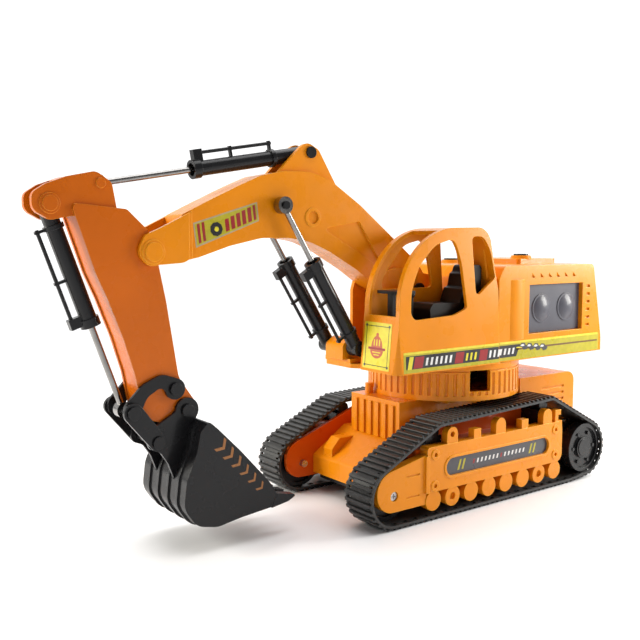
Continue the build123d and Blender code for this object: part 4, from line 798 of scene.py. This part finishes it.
# ------------------------------------------------------------------ floor, lights and camera
CAMERA_YAW = 0.93276  # radians from -X towards -Y
CAMERA_PITCH = 0.09493  # radians below level
CAMERA_PLACE = (0.4508, 0.4500, 0.1846)
CAMERA_LENS = 46.58  # mm on a 36 mm sensor
FLOOR_REACH = 8.0
FLOOR_DROP = 0.0002
SKY_GLOSS = 0.3  # share of the sky light that shows in highlights
WALL_BRIGHT = 1.25
WALL_DIM = 0.25


def build_floor():
    """Wide sheet of white paper under the toy."""
    mesh = bmesh.new()
    corners = ((-1, -1), (1, -1), (1, 1), (-1, 1))
    mesh.faces.new([mesh.verts.new((x * FLOOR_REACH, y * FLOOR_REACH, -FLOOR_DROP)) for x, y in corners])
    data = bpy.data.meshes.new("paper_floor")
    mesh.to_mesh(data)
    mesh.free()
    data.materials.append(studio_paper("studio_paper"))
    floor = bpy.data.objects.new("paper_floor", data)
    bpy.context.scene.collection.objects.link(floor)


def area_light(name, place, target, size, power, colour):
    """Square soft light at a place, aimed at a target."""
    data = bpy.data.lights.new(name, "AREA")
    data.size = size
    data.energy = power
    data.color = colour
    light = bpy.data.objects.new(name, data)
    light.location = place
    light.rotation_euler = (Vector(target) - Vector(place)).to_track_quat("-Z", "Y").to_euler()
    bpy.context.scene.collection.objects.link(light)


def sky_light(name, place, strength, spread_angle):
    """Even light from far away, towards the origin."""
    data = bpy.data.lights.new(name, "SUN")
    data.energy = strength
    data.angle = math.radians(spread_angle)
    data.specular_factor = SKY_GLOSS
    light = bpy.data.objects.new(name, data)
    light.rotation_euler = (-Vector(place)).to_track_quat("-Z", "Y").to_euler()
    bpy.context.scene.collection.objects.link(light)


def build_camera():
    data = bpy.data.cameras.new("camera")
    data.lens = CAMERA_LENS
    data.sensor_width = 36.0
    data.clip_start = 0.01
    camera = bpy.data.objects.new("camera", data)
    camera.location = CAMERA_PLACE
    level = math.cos(CAMERA_PITCH)
    aim = Vector((-math.cos(CAMERA_YAW) * level, -math.sin(CAMERA_YAW) * level, -math.sin(CAMERA_PITCH)))
    camera.rotation_euler = aim.to_track_quat("-Z", "Y").to_euler()
    bpy.context.scene.collection.objects.link(camera)
    bpy.context.scene.camera = camera


def build_world():
    """White studio: a bright wall behind the toy, as the camera sees it, and dimmer walls elsewhere."""
    world = bpy.data.worlds.new("studio")
    world.use_nodes = True
    nodes, links = world.node_tree.nodes, world.node_tree.links
    background = nodes["Background"]
    background.inputs["Color"].default_value = (1, 1, 1, 1)
    place = nodes.new("ShaderNodeTexCoord")
    facing = nodes.new("ShaderNodeVectorMath")
    facing.operation = "DOT_PRODUCT"
    facing.inputs[1].default_value = (-math.cos(CAMERA_YAW), -math.sin(CAMERA_YAW), 0.0)
    fade = nodes.new("ShaderNodeMapRange")
    fade.inputs["From Min"].default_value = 0.2
    fade.inputs["From Max"].default_value = 0.85
    fade.inputs["To Min"].default_value = WALL_DIM
    fade.inputs["To Max"].default_value = WALL_BRIGHT
    links.new(place.outputs["Generated"], facing.inputs[0])
    links.new(facing.outputs["Value"], fade.inputs["Value"])
    links.new(fade.outputs["Result"], background.inputs["Strength"])
    bpy.context.scene.world = world


build_floor()
build_camera()
build_world()
sky_light("sky", place=(-0.15, -0.05, 1.0), strength=2.6, spread_angle=60)
area_light(
    "front_box",
    place=(0.85, -0.45, 0.36),
    target=(0.16, 0, 0.12),
    size=0.40,
    power=8.0,
    colour=(1.0, 0.96, 0.86),
)
area_light(
    "rear_box",
    place=(-0.38, 0.27, 0.25),
    target=(-0.10, 0.03, 0.13),
    size=0.20,
    power=2.4,
    colour=(1.0, 0.98, 0.92),
)
bpy.context.scene.view_settings.view_transform = "Standard"
